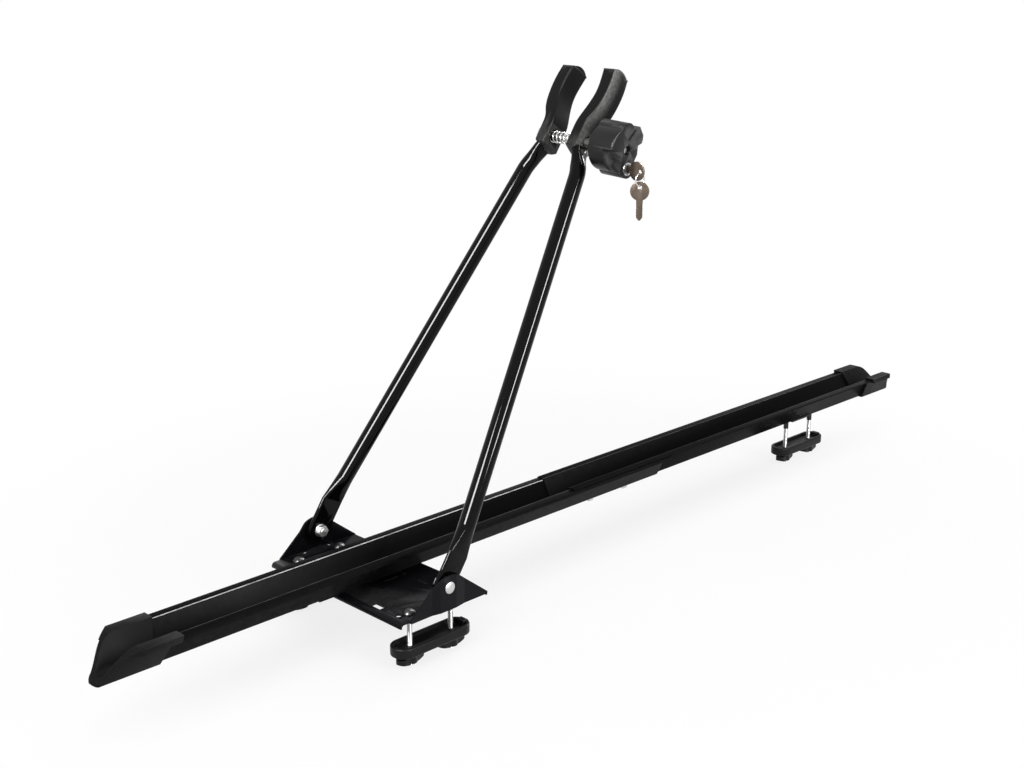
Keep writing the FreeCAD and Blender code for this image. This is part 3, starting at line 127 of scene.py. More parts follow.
studio_lamp("lamp_over", place=(0.1, -0.3, 2.6), target=(0.3, 0, 0.1), along=(1, 0, 0),
            width=1.2, length=2.2, power=20)
studio_lamp("lamp_right", place=(0.55, -2.7, 0.95), target=(0.3, 0, 0.3), along=(0, 0, 1),
            width=1.2, length=1.6, power=42)
studio_lamp("lamp_left", place=(-1.77, -0.66, 1.57), target=(0.25, 0, 0.3), along=(0, 0, 1),
            width=1.0, length=1.4, power=24)
studio_lamp("lamp_back", place=(2.4, 0.3, 2.2), target=(0.3, 0, 0.1), along=(1, 0, -0.3),
            width=0.5, length=2.5, power=20)
studio_lamp("gleam_near_tube", place=(0.42, -2.36, 1.24), target=(0.17, -0.09, 0.24),
            along=(0.55, 0.3, 0.78), width=0.45, length=1.25, power=150, gleam=True)
studio_lamp("gleam_far_tube", place=(-1.87, -0.36, 1.61), target=(0.17, 0.09, 0.24),
            along=(0.56, -0.15, 0.81), width=0.8, length=1.0, power=210, gleam=True)
studio_lamp("gleam_channel", place=(2.4, 0.2, 2.25), target=(0.3, 0, 0.03), along=(1, 0, -0.3),
            width=0.3, length=2.8, power=120, gleam=True)

FLOOR_SIZE = 40
FLOOR_Z = cad_box[0][2] - 0.0005
bpy.ops.mesh.primitive_plane_add(size=FLOOR_SIZE, location=(0, 0, FLOOR_Z))
studio_floor = bpy.context.object
studio_floor.name = "studio_floor"
bpy.ops.object.transform_apply(location=True, rotation=True, scale=True)


def worked_out(tree, operation, *terms):
    """Result of one sum on the given numbers and sockets."""
    node = tree.nodes.new("ShaderNodeMath")
    node.operation = operation
    for inlet, term in zip(node.inputs, terms):
        if isinstance(term, bpy.types.NodeSocket):
            tree.links.new(term, inlet)
        else:
            inlet.default_value = term
    return node.outputs[0]


def spread(tree, value, from_range, to_range=(0, 1), eased=False):
    """The value carried from one range to another, and held at its ends."""
    node = tree.nodes.new("ShaderNodeMapRange")
    if eased:
        node.interpolation_type = "SMOOTHSTEP"
    node.inputs["From Min"].default_value, node.inputs["From Max"].default_value = from_range
    node.inputs["To Min"].default_value, node.inputs["To Max"].default_value = to_range
    tree.links.new(value, node.inputs["Value"])
    return node.outputs["Result"]


def mixed_light(tree, share, first, second, outlet):
    """Lets the second shader stand for the first by the given share."""
    mixed = tree.nodes.new("ShaderNodeMixShader")
    tree.links.new(share, mixed.inputs[0])
    tree.links.new(first.outputs[0], mixed.inputs[1])
    tree.links.new(second.outputs[0], mixed.inputs[2])
    tree.links.new(mixed.outputs[0], tree.nodes[outlet].inputs["Surface"])


def seen_directly(tree):
    """1 where the camera, a reflection or glass looks, and 0 for light that falls on the object."""
    path = tree.nodes.new("ShaderNodeLightPath")
    either = worked_out(tree, "MAXIMUM", path.outputs["Is Camera Ray"], path.outputs["Is Glossy Ray"])
    return worked_out(tree, "MAXIMUM", either, path.outputs["Is Transmission Ray"])


def studio_world():
    """White where it is looked at, and a dim grey fill for the light that it gives."""
    world = bpy.data.worlds.new("studio_world")
    bpy.context.scene.world = world
    world.use_nodes = True
    tree = world.node_tree
    fill = tree.nodes["Background"]
    fill.inputs["Color"].default_value = (0.45, 0.45, 0.46, 1)
    fill.inputs["Strength"].default_value = 0.6
    white = tree.nodes.new("ShaderNodeBackground")
    white.inputs["Color"].default_value = (1, 1, 1, 1)
    white.inputs["Strength"].default_value = 1.0
    mixed_light(tree, seen_directly(tree), fill, white, "World Output")


FLOOR_CENTRE_X = 0.35
SHADOW_REACH = (0.35, 0.95)
SHADOW_FADE = (0.82, 1.0)


def floor_paint():
    """White paint that keeps the shadow near the object and fades to plain white further out."""
    material = bpy.data.materials.new("studio_floor_paint")
    material.use_nodes = True
    tree = material.node_tree
    paint = tree.nodes["Principled BSDF"]
    paint.inputs["Base Color"].default_value = (0.9, 0.9, 0.9, 1)
    paint.inputs["Roughness"].default_value = 0.95
    paint.inputs["Specular IOR Level"].default_value = 0.0
    place = tree.nodes.new("ShaderNodeTexCoord")
    centred = tree.nodes.new("ShaderNodeMapping")
    centred.inputs["Location"].default_value = (-FLOOR_CENTRE_X, 0, -FLOOR_Z)
    tree.links.new(place.outputs["Object"], centred.inputs["Vector"])
    reach = tree.nodes.new("ShaderNodeVectorMath")
    reach.operation = "LENGTH"
    tree.links.new(centred.outputs["Vector"], reach.inputs[0])
    fade = spread(tree, reach.outputs["Value"], SHADOW_REACH, SHADOW_FADE, eased=True)
    share = worked_out(tree, "MULTIPLY", fade, seen_directly(tree))
    glow = tree.nodes.new("ShaderNodeEmission")
    glow.inputs["Color"].default_value = (1, 1, 1, 1)
    glow.inputs["Strength"].default_value = 1.0
    mixed_light(tree, share, paint, glow, "Material Output")
    return material


studio_world()
studio_floor.data.materials.append(floor_paint())


# The base plate: one pressed steel sheet with rolled front and rear edges and a folded ear on
# each side. It is powder coated a soft gloss black, worn a little where the sheet is bent.
def coat_grain_group():
    """Fine orange peel of a sprayed or moulded skin, and slow smears of shine over it."""
    group = bpy.data.node_groups.new("coat_grain", "ShaderNodeTree")
    sockets = group.interface
    sockets.new_socket("Grain Size", in_out="INPUT", socket_type="NodeSocketFloat").default_value = 900
    sockets.new_socket("Smear Size", in_out="INPUT", socket_type="NodeSocketFloat").default_value = 9
    sockets.new_socket("Grain", in_out="OUTPUT", socket_type="NodeSocketFloat")
    sockets.new_socket("Smear", in_out="OUTPUT", socket_type="NodeSocketFloat")
    inlet = group.nodes.new("NodeGroupInput")
    outlet = group.nodes.new("NodeGroupOutput")
    place = group.nodes.new("ShaderNodeTexCoord")
    grain = group.nodes.new("ShaderNodeTexNoise")
    grain.inputs["Detail"].default_value = 2.0
    smear = group.nodes.new("ShaderNodeTexNoise")
    smear.inputs["Detail"].default_value = 4.0
    smear.inputs["Roughness"].default_value = 0.6
    for texture, size in ((grain, "Grain Size"), (smear, "Smear Size")):
        group.links.new(place.outputs["Object"], texture.inputs["Vector"])
        group.links.new(inlet.outputs[size], texture.inputs["Scale"])
    group.links.new(grain.outputs["Fac"], outlet.inputs["Grain"])
    group.links.new(smear.outputs["Fac"], outlet.inputs["Smear"])
    return group


def wear_patches(tree, place, scale, detail):
    """Noise that breaks up a rubbed place."""
    patches = tree.nodes.new("ShaderNodeTexNoise")
    patches.inputs["Scale"].default_value = scale
    patches.inputs["Detail"].default_value = detail
    tree.links.new(place.outputs["Object"], patches.inputs["Vector"])
    return patches.outputs["Fac"]


def edge_wear_and_highlight_group():
    """Mask of lighter edges, partly wear and partly a painted highlight: sharp outer edges, broken up by
    noise.
    """
    group = bpy.data.node_groups.new("edge_wear_and_highlight", "ShaderNodeTree")
    sockets = group.interface
    sockets.new_socket("Reach", in_out="INPUT", socket_type="NodeSocketFloat").default_value = 0.55
    sockets.new_socket("Mask", in_out="OUTPUT", socket_type="NodeSocketFloat")
    inlet = group.nodes.new("NodeGroupInput")
    outlet = group.nodes.new("NodeGroupOutput")
    shape = group.nodes.new("ShaderNodeNewGeometry")
    place = group.nodes.new("ShaderNodeTexCoord")
    edge = group.nodes.new("ShaderNodeMapRange")
    edge.inputs["From Max"].default_value = 0.62
    group.links.new(inlet.outputs["Reach"], edge.inputs["From Min"])
    group.links.new(shape.outputs["Pointiness"], edge.inputs["Value"])
    patches = wear_patches(group, place, scale=120, detail=5)
    group.links.new(worked_out(group, "MULTIPLY", edge.outputs["Result"], patches), outlet.inputs["Mask"])
    return group


coat_grain = coat_grain_group()
edge_wear_and_highlight = edge_wear_and_highlight_group()


def grained(tree, skin, size, depth, strength):
    """Puts the grain's bump on the skin and returns the grain."""
    grain = tree.nodes.new("ShaderNodeGroup")
    grain.node_tree = coat_grain
    grain.inputs["Grain Size"].default_value = size
    bump = tree.nodes.new("ShaderNodeBump")
    bump.inputs["Distance"].default_value = depth
    bump.inputs["Strength"].default_value = strength
    tree.links.new(grain.outputs["Grain"], bump.inputs["Height"])
    tree.links.new(bump.outputs["Normal"], skin.inputs["Normal"])
    return grain


def two_tone(tree, skin, mask, first, second):
    """Colours the skin with the first tone, and with the second where the mask is."""
    tone = tree.nodes.new("ShaderNodeMix")
    tone.data_type = "RGBA"
    tone.inputs["B"].default_value = (*second, 1)
    if isinstance(first, bpy.types.NodeSocket):
        tree.links.new(first, tone.inputs["A"])
    else:
        tone.inputs["A"].default_value = (*first, 1)
    tree.links.new(mask, tone.inputs["Factor"])
    tree.links.new(tone.outputs["Result"], skin.inputs["Base Color"])


def black_finish(name, colour, wear_and_highlight, roughness, sheen_range, grain_size, grain_depth, gloss):
    """Black paint, plastic or rubber with its grain, smears of shine, and lighter edges that are partly wear
    and partly a painted highlight.
    """
    material = bpy.data.materials.new(name)
    material.use_nodes = True
    tree = material.node_tree
    skin = tree.nodes["Principled BSDF"]
    skin.inputs["Specular IOR Level"].default_value = gloss
    grain = grained(tree, skin, size=grain_size, depth=grain_depth, strength=0.5)
    worn_and_lit_edges = tree.nodes.new("ShaderNodeGroup")
    worn_and_lit_edges.node_tree = edge_wear_and_highlight
    two_tone(tree, skin, worn_and_lit_edges.outputs["Mask"], colour, wear_and_highlight)
    least, most = roughness - sheen_range, roughness + sheen_range
    shine = spread(tree, grain.outputs["Smear"], (0.3, 0.7), (least, most))
    tree.links.new(shine, skin.inputs["Roughness"])
    return material


MERGE_WITHIN = 0.00001
FLAT_WITHIN = math.radians(0.4)
SHARP_FROM = math.radians(38)


def softened(node_name, piece_name, material, radius=0, smooth_angle=32, rides=True):
    """The node's form with its sharp edges rounded and its curves smooth, standing for the node."""
    piece = bpy.data.objects.new(piece_name, nodes[node_name].data.copy())
    bpy.context.scene.collection.objects.link(piece)
    bpy.ops.object.select_all(action="DESELECT")
    piece.select_set(True)
    bpy.context.view_layer.objects.active = piece
    bpy.ops.object.mode_set(mode="EDIT")
    bpy.ops.mesh.select_all(action="SELECT")
    bpy.ops.mesh.remove_doubles(threshold=MERGE_WITHIN)
    bpy.ops.mesh.dissolve_limited(angle_limit=FLAT_WITHIN)
    bpy.ops.object.mode_set(mode="OBJECT")
    if radius:
        rounding = piece.modifiers.new("rounding", "BEVEL")
        rounding.width = radius
        rounding.segments = 2
        rounding.limit_method = "ANGLE"
        rounding.angle_limit = SHARP_FROM
        bpy.ops.object.modifier_apply(modifier="rounding")
    bpy.ops.object.shade_smooth_by_angle(angle=math.radians(smooth_angle))
    piece.data.materials.clear()
    piece.data.materials.append(material)
    if rides:
        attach(piece, nodes[node_name]["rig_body"])
    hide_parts(node_name)
    bpy.ops.object.select_all(action="DESELECT")
    return piece


POCKET_FOLD = math.radians(6)
FACES_SIDEWAYS = 0.9


def crisp_pocket_folds(sheet):
    """Marks the shallow folds of the ears' pockets sharp, so that they show as lines."""
    facing = {}
    for face in sheet.data.polygons:
        for key in face.edge_keys:
            facing.setdefault(key, []).append(face.normal)
    for edge in sheet.data.edges:
        sides = facing[tuple(sorted(edge.vertices))]
        on_ear = len(sides) == 2 and min(abs(side.y) for side in sides) > FACES_SIDEWAYS
        if on_ear and sides[0].angle(sides[1]) > POCKET_FOLD:
            edge.use_edge_sharp = True


powder_coat = black_finish("base_powder_coat", colour=(0.0055, 0.005, 0.0065), wear_and_highlight=(0.03, 0.03, 0.03),
                           roughness=0.2, sheen_range=0.05, grain_size=700, grain_depth=0.00003, gloss=0.08)
base_sheet = softened("base_plate", "base_sheet", powder_coat, radius=0.0005)
crisp_pocket_folds(base_sheet)

# Three small beads are pressed up in the near half of the deck.
# They are of the plate's own sheet and carry its coat.
PLATE_TOP = 0.005
BEAD_PROUD = 0.0005
BEAD_ROUNDING = 0.00045
BEAD_EDGES = (
    (0.003, 0.024, -0.0195, -0.0165),
    (0.0325, 0.0355, -0.058, -0.042),
    (0.0325, 0.0355, -0.019, -0.0085),
)
for number, (x0, x1, y0, y1) in enumerate(BEAD_EDGES):
    bpy.ops.mesh.primitive_cube_add(size=1, location=((x0 + x1) / 2, (y0 + y1) / 2, PLATE_TOP),
                                    scale=(x1 - x0, y1 - y0, 2 * BEAD_PROUD))
    bead = bpy.context.object
    bead.name = "deck_bead_" + str(number + 1)
    bpy.ops.object.transform_apply(location=True, rotation=True, scale=True)
    swell = bead.modifiers.new("swell", "BEVEL")
    swell.width = BEAD_ROUNDING
    swell.segments = 3
    bpy.ops.object.modifier_apply(modifier="swell")
    bpy.ops.object.shade_smooth()
    bead.data.materials.append(powder_coat)
    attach(bead, "base")
    bpy.ops.object.select_all(action="DESELECT")


# Strips of black rubber lie between the carrier and the roof bars.
# They are cut from plain sheet and stick to the steel above them.
def dress(names, material):
    """Gives pieces that keep their plain shape their finish."""
    for name in names:
        nodes[name].data.materials.clear()
        nodes[name].data.materials.append(material)


pad_rubber = black_finish("pad_rubber", colour=(0.012, 0.012, 0.012), wear_and_highlight=(0.03, 0.03, 0.03),
                          roughness=0.75, sheen_range=0.08, grain_size=500, grain_depth=0.0001, gloss=0.25)
dress(["front_bar_pad", "rear_bar_pad"], pad_rubber)

# The wheel channel: two nested lengths of folded sheet with a narrow floor and sloping walls,
# and a lip turned out and down along each side. The coat is black and even. A pale line is painted
# along the inner folds of the lips as a painted highlight, brightest on the far side of the front length.
FOLD_Y = 0.0248
FOLD_Z = 0.0378
FOLD_HIGHLIGHT_HALF = 0.0008
NEST_INSET = 0.0008
NEST_RISE = 0.0024
# Colour of the painted highlight along the lips' inner folds.
PAINTED_FOLD_HIGHLIGHT = (0.6, 0.6, 0.59)
channel_coat = black_finish("channel_coat", colour=(0.005, 0.005, 0.0052), wear_and_highlight=(0.02, 0.02, 0.02),
                            roughness=0.28, sheen_range=0.04, grain_size=500, grain_depth=0.00004,
                            gloss=0.005)
dress(["rear_strap"], channel_coat)


def changed_copy(material, name):
    """A copy under its own name, with its nodes, its skin and what colours the skin."""
    changed = material.copy()
    changed.name = name
    tree = changed.node_tree
    skin = tree.nodes["Principled BSDF"]
    return changed, tree, skin, skin.inputs["Base Color"].links[0].from_socket


def channel_finish(name, fold_y, fold_z, far_highlight, near_highlight):
    """The channel's coat, with a painted highlight as a pale line along the inner folds of both lips."""
    material, tree, skin, plain = changed_copy(channel_coat, name)
    place = tree.nodes.new("ShaderNodeTexCoord")
    parts = tree.nodes.new("ShaderNodeSeparateXYZ")
    tree.links.new(place.outputs["Object"], parts.inputs["Vector"])
    far_fold = worked_out(tree, "COMPARE", parts.outputs["Y"], fold_y, FOLD_HIGHLIGHT_HALF)
    near_fold = worked_out(tree, "COMPARE", parts.outputs["Y"], -fold_y, FOLD_HIGHLIGHT_HALF)
    both = worked_out(tree, "ADD", worked_out(tree, "MULTIPLY", far_fold, far_highlight),
                      worked_out(tree, "MULTIPLY", near_fold, near_highlight))
    high = worked_out(tree, "GREATER_THAN", parts.outputs["Z"], fold_z)
    patches = wear_patches(tree, place, scale=45, detail=4)
    uneven = spread(tree, patches, (0.3, 0.55), (0.45, 1))
    mask = worked_out(tree, "MULTIPLY", worked_out(tree, "MULTIPLY", both, high), uneven)
    two_tone(tree, skin, mask, plain, PAINTED_FOLD_HIGHLIGHT)
    return material


CHANNEL_FOLDS = (
    ("front_rail", FOLD_Y, FOLD_Z, 1.0, 0.12),
    ("rear_rail", FOLD_Y - NEST_INSET, FOLD_Z + NEST_RISE, 0.08, 0.05),
)
for node_name, fold_y, fold_z, far_highlight, near_highlight in CHANNEL_FOLDS:
    finish = channel_finish(node_name + "_coat", fold_y, fold_z, far_highlight, near_highlight)
    length = softened(node_name, node_name + "_folded", finish, radius=0.0004)


# Two bolts with nuts hold the nested lengths of channel together.
# They are bright zinc plated.
def bright_metal(name, colour, tarnish, roughness, brush_size):
    """Plated or polished metal with fine brushed scratches and darker tarnish in patches."""
    material = bpy.data.materials.new(name)
    material.use_nodes = True
    tree = material.node_tree
    metal = tree.nodes["Principled BSDF"]
    metal.inputs["Metallic"].default_value = 1.0
    grain = grained(tree, metal, size=brush_size, depth=0.00003, strength=0.4)
    grain.inputs["Smear Size"].default_value = 60
    two_tone(tree, metal, grain.outputs["Smear"], tarnish, colour)
    least, most = roughness * 0.6, roughness * 1.5
    shine = spread(tree, grain.outputs["Grain"], (0, 1), (least, most))
    tree.links.new(shine, metal.inputs["Roughness"])
    return material


zinc_plate = bright_metal("zinc_plate", colour=(0.72, 0.72, 0.7), tarnish=(0.4, 0.4, 0.4),
                          roughness=0.3, brush_size=900)
for node_name in ("joint_bolts", "joint_nuts"):
    fastener = softened(node_name, node_name + "_plated", zinc_plate, radius=0.0003)

# The end caps: moulded scoops pushed over the channel's ends, which run down to a round nose.
# Their plastic is matt black with a fine spark-eroded grain.
# The cap's lighter rim and edges are partly wear and partly a painted highlight.
cap_plastic = black_finish("cap_plastic", colour=(0.010, 0.010, 0.0105), wear_and_highlight=(0.16, 0.16, 0.16),
                           roughness=0.45, sheen_range=0.06, grain_size=1400, grain_depth=0.00008,
                           gloss=0.025)
for node_name in ("front_end_cap", "rear_end_cap"):
    cap = softened(node_name, node_name + "_moulding", cap_plastic, radius=0.0008)

# The pivots: a dome-headed bolt through each ear and the flattened foot of a tube,
# with a spacer in the ear's pocket and a washer and nut inside. All are bright zinc plated.
for node_name in ("pivot_bolts", "pivot_spacers", "pivot_nuts"):
    fastener = softened(node_name, node_name + "_plated", zinc_plate, radius=0.0004)

# The frame holder's two steel tubes are flattened at both ends and bent inward near the top.
# Their black coat is the smoothest of all, so the lamps show as long thin lines.
tube_coat = black_finish("tube_coat", colour=(0.002, 0.002, 0.0022), wear_and_highlight=(0.006, 0.006, 0.006),
                         roughness=0.06, sheen_range=0.015, grain_size=400, grain_depth=0.000004, gloss=0.12)
for side in ("near", "far"):
    tube = softened(side + "_arm_tube", side + "_tube_coated", tube_coat, radius=0.0006, smooth_angle=40)

# The jaws: hollowed plastic grips that slip over the tubes' ends and hold the bicycle's frame.
# The black moulding has a soft sheen, and a grey streak is painted down the near jaw's outer face as a
# painted highlight.
PIVOT_X = 0.0100
PIVOT_Z = 0.0295
JAW_HALF_WIDTH = 0.0155
JAW_LEAN = math.radians(34.3)
JAW_FRONT = PIVOT_X * math.cos(JAW_LEAN) - PIVOT_Z * math.sin(JAW_LEAN) - JAW_HALF_WIDTH
# Width and colour of the painted highlight on the near jaw's outer face.
PAINTED_SHEEN_WIDTH = 0.022
PAINTED_SHEEN_GREY = (0.3, 0.3, 0.29)
jaw_plastic = black_finish("jaw_plastic", colour=(0.005, 0.005, 0.0052), wear_and_highlight=(0.08, 0.08, 0.078),
                           roughness=0.36, sheen_range=0.06, grain_size=900, grain_depth=0.00006, gloss=0.09)


def jaw_with_painted_sheen():
    """The jaws' plastic, with a painted highlight: a grey streak down the front of the near jaw's outer face.
    """
    material, tree, skin, plain = changed_copy(jaw_plastic, "jaw_plastic_painted_sheen")
    place = tree.nodes.new("ShaderNodeTexCoord")
    turned = tree.nodes.new("ShaderNodeMapping")
    turned.inputs["Rotation"].default_value = (0, -JAW_LEAN, 0)
    tree.links.new(place.outputs["Object"], turned.inputs["Vector"])
    parts = tree.nodes.new("ShaderNodeSeparateXYZ")
    tree.links.new(turned.outputs["Vector"], parts.inputs["Vector"])
    across = spread(tree, parts.outputs["X"], (JAW_FRONT, JAW_FRONT + PAINTED_SHEEN_WIDTH), (1, 0), eased=True)
    shape = tree.nodes.new("ShaderNodeNewGeometry")
    facing = tree.nodes.new("ShaderNodeSeparateXYZ")
    tree.links.new(shape.outputs["Normal"], facing.inputs["Vector"])
    outer = spread(tree, facing.outputs["Y"], (-0.6, -0.9))
    patches = wear_patches(tree, place, scale=260, detail=6)
    mask = worked_out(tree, "MULTIPLY", worked_out(tree, "MULTIPLY", across, outer), patches)
    two_tone(tree, skin, mask, plain, PAINTED_SHEEN_GREY)
    return material


sheen_painted_jaw_plastic = jaw_with_painted_sheen()
for side, finish in (("near", sheen_painted_jaw_plastic), ("far", jaw_plastic)):
    jaw = softened(side + "_jaw", side + "_jaw_moulding", finish, radius=0.0006, smooth_angle=40)
    bolt = softened(side + "_jaw_bolt", side + "_jaw_bolt_plated", zinc_plate, radius=0.0003)

# The clamp screw runs through both jaws, with a coil spring on it that pushes them apart.
# Screw, nuts and spring are bright steel, and the bush that the knob presses on is light zinc.
spring_steel = bright_metal("spring_steel", colour=(0.8, 0.8, 0.78), tarnish=(0.5, 0.5, 0.5),
                            roughness=0.22, brush_size=1200)
spring = softened("jaw_spring", "jaw_spring_wire", spring_steel, smooth_angle=60, rides=False)
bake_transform(spring)
for node_name in ("clamp_screw", "clamp_screw_nut", "clutch_nut"):
    fastener = softened(node_name, node_name + "_plated", zinc_plate, radius=0.0004)
bush = softened("thrust_bush", "thrust_bush_plated", zinc_plate, radius=0.0004)

# The knob: two black mouldings round the nut on the screw, with finger scoops and a crest.
# Its lower lobe takes the lock.
# The knob's lighter edges are partly wear and partly a painted highlight.
knob_plastic = black_finish("knob_plastic", colour=(0.0075, 0.0075, 0.0078), wear_and_highlight=(0.09, 0.09, 0.09),
                            roughness=0.36, sheen_range=0.06, grain_size=1200, grain_depth=0.00008, gloss=0.2)
for half in ("upper", "lower"):
    shell = softened("knob_" + half + "_half", "knob_" + half + "_moulding", knob_plastic,
                     radius=0.0007, smooth_angle=40)

# The lock: a chromed case with a dull barrel, set in the knob's lower lobe.
# A small red spot is painted on the case's rim.
lock_chrome = bright_metal("lock_chrome", colour=(0.62, 0.62, 0.62), tarnish=(0.3, 0.3, 0.3),
                           roughness=0.2, brush_size=1500)
case = softened("lock_housing", "lock_housing_chromed", lock_chrome, radius=0.0003)
lock_grey = bright_metal("lock_grey", colour=(0.2, 0.2, 0.2), tarnish=(0.1, 0.1, 0.1),
                         roughness=0.35, brush_size=1500)
barrel = softened("lock_barrel", "lock_barrel_plated", lock_grey, radius=0.0003)

SCREW_DROOP = math.radians(3.0)
LOCK_FACE = Vector((0.32725, -0.10049, 0.46409))
SPOT_R = 0.0008
SPOT_THICKNESS = 0.0003
SPOT_DROP = 0.0070
SPOT_PROUD = 0.00008
lock_out = Vector((0, -math.cos(SCREW_DROOP), -math.sin(SCREW_DROOP)))
lock_up = Vector((0, -math.sin(SCREW_DROOP), math.cos(SCREW_DROOP)))
bpy.ops.mesh.primitive_cylinder_add(vertices=20, radius=SPOT_R, depth=SPOT_THICKNESS)
red_spot = bpy.context.object
red_spot.name = "lock_red_spot"
red_spot.rotation_euler = lock_out.to_track_quat("Z", "Y").to_euler()
red_spot.location = LOCK_FACE - SPOT_DROP * lock_up + (SPOT_PROUD - SPOT_THICKNESS / 2) * lock_out
bpy.ops.object.transform_apply(location=True, rotation=True, scale=True)
spot_paint = black_finish("lock_spot_paint", colour=(0.5, 0.012, 0.01), wear_and_highlight=(0.6, 0.05, 0.04),
                          roughness=0.35, sheen_range=0.05, grain_size=900, grain_depth=0.00003, gloss=0.4)
red_spot.data.materials.append(spot_paint)
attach(red_spot, "knob")
bpy.ops.object.select_all(action="DESELECT")

# The keys are flat plated blanks with a round head, one in the lock and one on its ring.
# Their metal is coloured a dark brown, a painted reflection of a dim room. The spare shows cuts on both edges
# and a milled groove.
key_metal_painted_dim = bright_metal("key_metal_painted_dim", colour=(0.17, 0.135, 0.105), tarnish=(0.08, 0.062, 0.05),
                          roughness=0.3, brush_size=800)
lock_key = softened("key_in_lock", "key_in_lock_cut", key_metal_painted_dim, radius=0.0003)
spare_key = softened("spare_key", "spare_key_cut", key_metal_painted_dim, radius=0.0003)


def cut_away(piece, cutters):
    """Joins the cutters, takes them out of the piece and removes them."""
    bpy.ops.object.select_all(action="DESELECT")
    for cutter in cutters:
        cutter.select_set(True)
    bpy.context.view_layer.objects.active = cutters[0]
    bpy.ops.object.join()
    tool = bpy.context.object
    bpy.ops.object.select_all(action="DESELECT")
    piece.select_set(True)
    bpy.context.view_layer.objects.active = piece
    cut = piece.modifiers.new("cut", "BOOLEAN")
    cut.operation = "DIFFERENCE"
    cut.object = tool
    bpy.ops.object.modifier_apply(modifier="cut")
    bpy.data.objects.remove(tool, do_unlink=True)
    bpy.ops.object.select_all(action="DESELECT")


KEY_HEAD_R = 0.0115
KEY_TURN = math.radians(40.0)
KEY_HALF_BLADE = 0.0040
KEY_HALF_T = 0.0010
CUTTER_SIZE = 0.002
CUTTER_REACH = 0.0014
CUT_STAGGER = 0.0006
CUT_DROPS_AND_BITES = (
    (0.017, 0.0011),
    (0.020, 0.0016),
    (0.0235, 0.0009),
    (0.027, 0.0015),
    (0.0305, 0.0011),
)
GROOVE_CUTTER_T = 0.002
GROOVE_WIDTH = 0.0016
GROOVE_LENGTH = 0.024
GROOVE_DROP = 0.025
GROOVE_OUT = 0.0006
key_low, key_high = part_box("spare_key")
key_x, key_y = (key_low[0] + key_high[0]) / 2, (key_low[1] + key_high[1]) / 2
key_middle = Vector((key_x, key_y, key_high[2] - KEY_HEAD_R))
key_edge = Vector((-math.sin(KEY_TURN), math.cos(KEY_TURN), 0))
key_flat = Vector((math.cos(KEY_TURN), math.sin(KEY_TURN), 0))
key_cutters = []
for drop, bite in CUT_DROPS_AND_BITES:
    for side in (-1, 1):
        down = Vector((0, 0, drop + side * CUT_STAGGER))
        middle = key_middle + side * (KEY_HALF_BLADE + CUTTER_REACH - bite) * key_edge - down
        bpy.ops.mesh.primitive_cube_add(size=CUTTER_SIZE, location=middle,
                                        rotation=(math.pi / 4, 0, KEY_TURN))
        key_cutters.append(bpy.context.object)
for side in (-1, 1):
    middle = key_middle + side * (KEY_HALF_T + GROOVE_OUT) * key_flat - Vector((0, 0, GROOVE_DROP))
    bpy.ops.mesh.primitive_cube_add(size=1, location=middle, rotation=(0, 0, KEY_TURN),
                                    scale=(GROOVE_CUTTER_T, GROOVE_WIDTH, GROOVE_LENGTH))
    key_cutters.append(bpy.context.object)
cut_away(spare_key, key_cutters)

# The ring is a round of polished steel wire that holds the spare on the key in the lock.
# It hangs free in the holes of both heads.
ring_steel = bright_metal("ring_steel", colour=(0.8, 0.8, 0.8), tarnish=(0.5, 0.5, 0.5),
                          roughness=0.15, brush_size=1000)
ring = softened("key_ring", "key_ring_wire", ring_steel, smooth_angle=60)

# The bar clamps: long bolts through a moulded bar, drawn up by a plastic wing nut on each.
# The bolts are zinc plated and threaded, and their heads on the deck are black like it.
HEADS_ABOVE = 0.0048
HEAD_BLACK = (0.006, 0.006, 0.007)
THREAD_PITCH = 0.001
THREAD_DEPTH = 0.0002


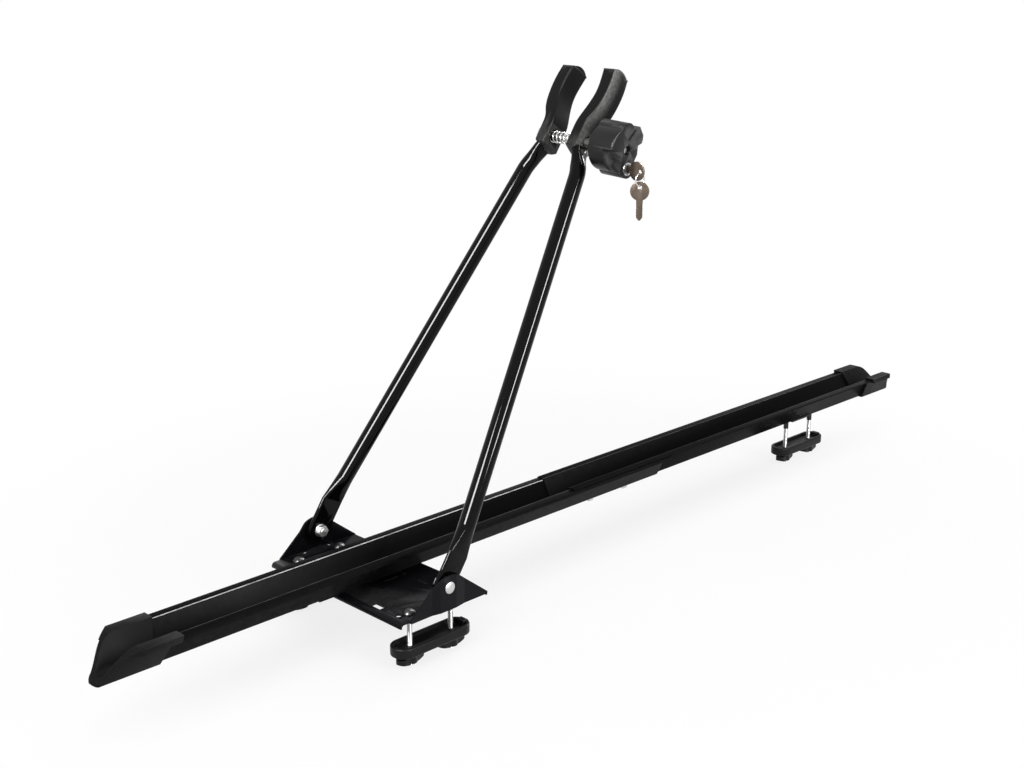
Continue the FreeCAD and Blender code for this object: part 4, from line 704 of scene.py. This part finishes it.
def stud_finish():
    """Plated thread below the plate, and black paint on the heads above it."""
    material, tree, metal, plated = changed_copy(zinc_plate, "stud_finish")
    place = tree.nodes.new("ShaderNodeTexCoord")
    parts = tree.nodes.new("ShaderNodeSeparateXYZ")
    tree.links.new(place.outputs["Object"], parts.inputs["Vector"])
    head = worked_out(tree, "GREATER_THAN", parts.outputs["Z"], HEADS_ABOVE)
    two_tone(tree, metal, head, plated, HEAD_BLACK)
    bare = worked_out(tree, "SUBTRACT", 1.0, head)
    tree.links.new(bare, metal.inputs["Metallic"])
    turns = worked_out(tree, "MULTIPLY", parts.outputs["Z"], 2 * math.pi / THREAD_PITCH)
    wave = worked_out(tree, "MULTIPLY", worked_out(tree, "SINE", turns), bare)
    thread = tree.nodes.new("ShaderNodeBump")
    thread.inputs["Distance"].default_value = THREAD_DEPTH
    thread.inputs["Strength"].default_value = 0.8
    tree.links.new(wave, thread.inputs["Height"])
    tree.links.new(metal.inputs["Normal"].links[0].from_socket, thread.inputs["Normal"])
    tree.links.new(thread.outputs["Normal"], metal.inputs["Normal"])
    return material


stud_metal = stud_finish()
clamp_plastic = black_finish("clamp_plastic", colour=(0.0075, 0.0075, 0.0078), wear_and_highlight=(0.12, 0.12, 0.12),
                             roughness=0.38, sheen_range=0.06, grain_size=1100, grain_depth=0.00008,
                             gloss=0.12)
sleeve_plastic = black_finish("sleeve_plastic", colour=(0.006, 0.006, 0.006), wear_and_highlight=(0.03, 0.03, 0.03),
                              roughness=0.35, sheen_range=0.05, grain_size=900, grain_depth=0.00005,
                              gloss=0.3)
for clamp in ("near", "far", "rear"):
    studs = softened(clamp + "_clamp_studs", clamp + "_clamp_studs_plated", stud_metal, radius=0.0002)
    sleeves = softened(clamp + "_stud_sleeves", clamp + "_stud_sleeves_moulding", sleeve_plastic,
                       radius=0.0002)
    bar = softened(clamp + "_clamp_bar", clamp + "_clamp_bar_moulding", clamp_plastic,
                   radius=0.0006, smooth_angle=40)
    for end in ("front", "rear"):
        nut_name = clamp + "_wing_nut_" + end
        nut = softened(nut_name, nut_name + "_moulding", clamp_plastic, radius=0.0009, smooth_angle=40)
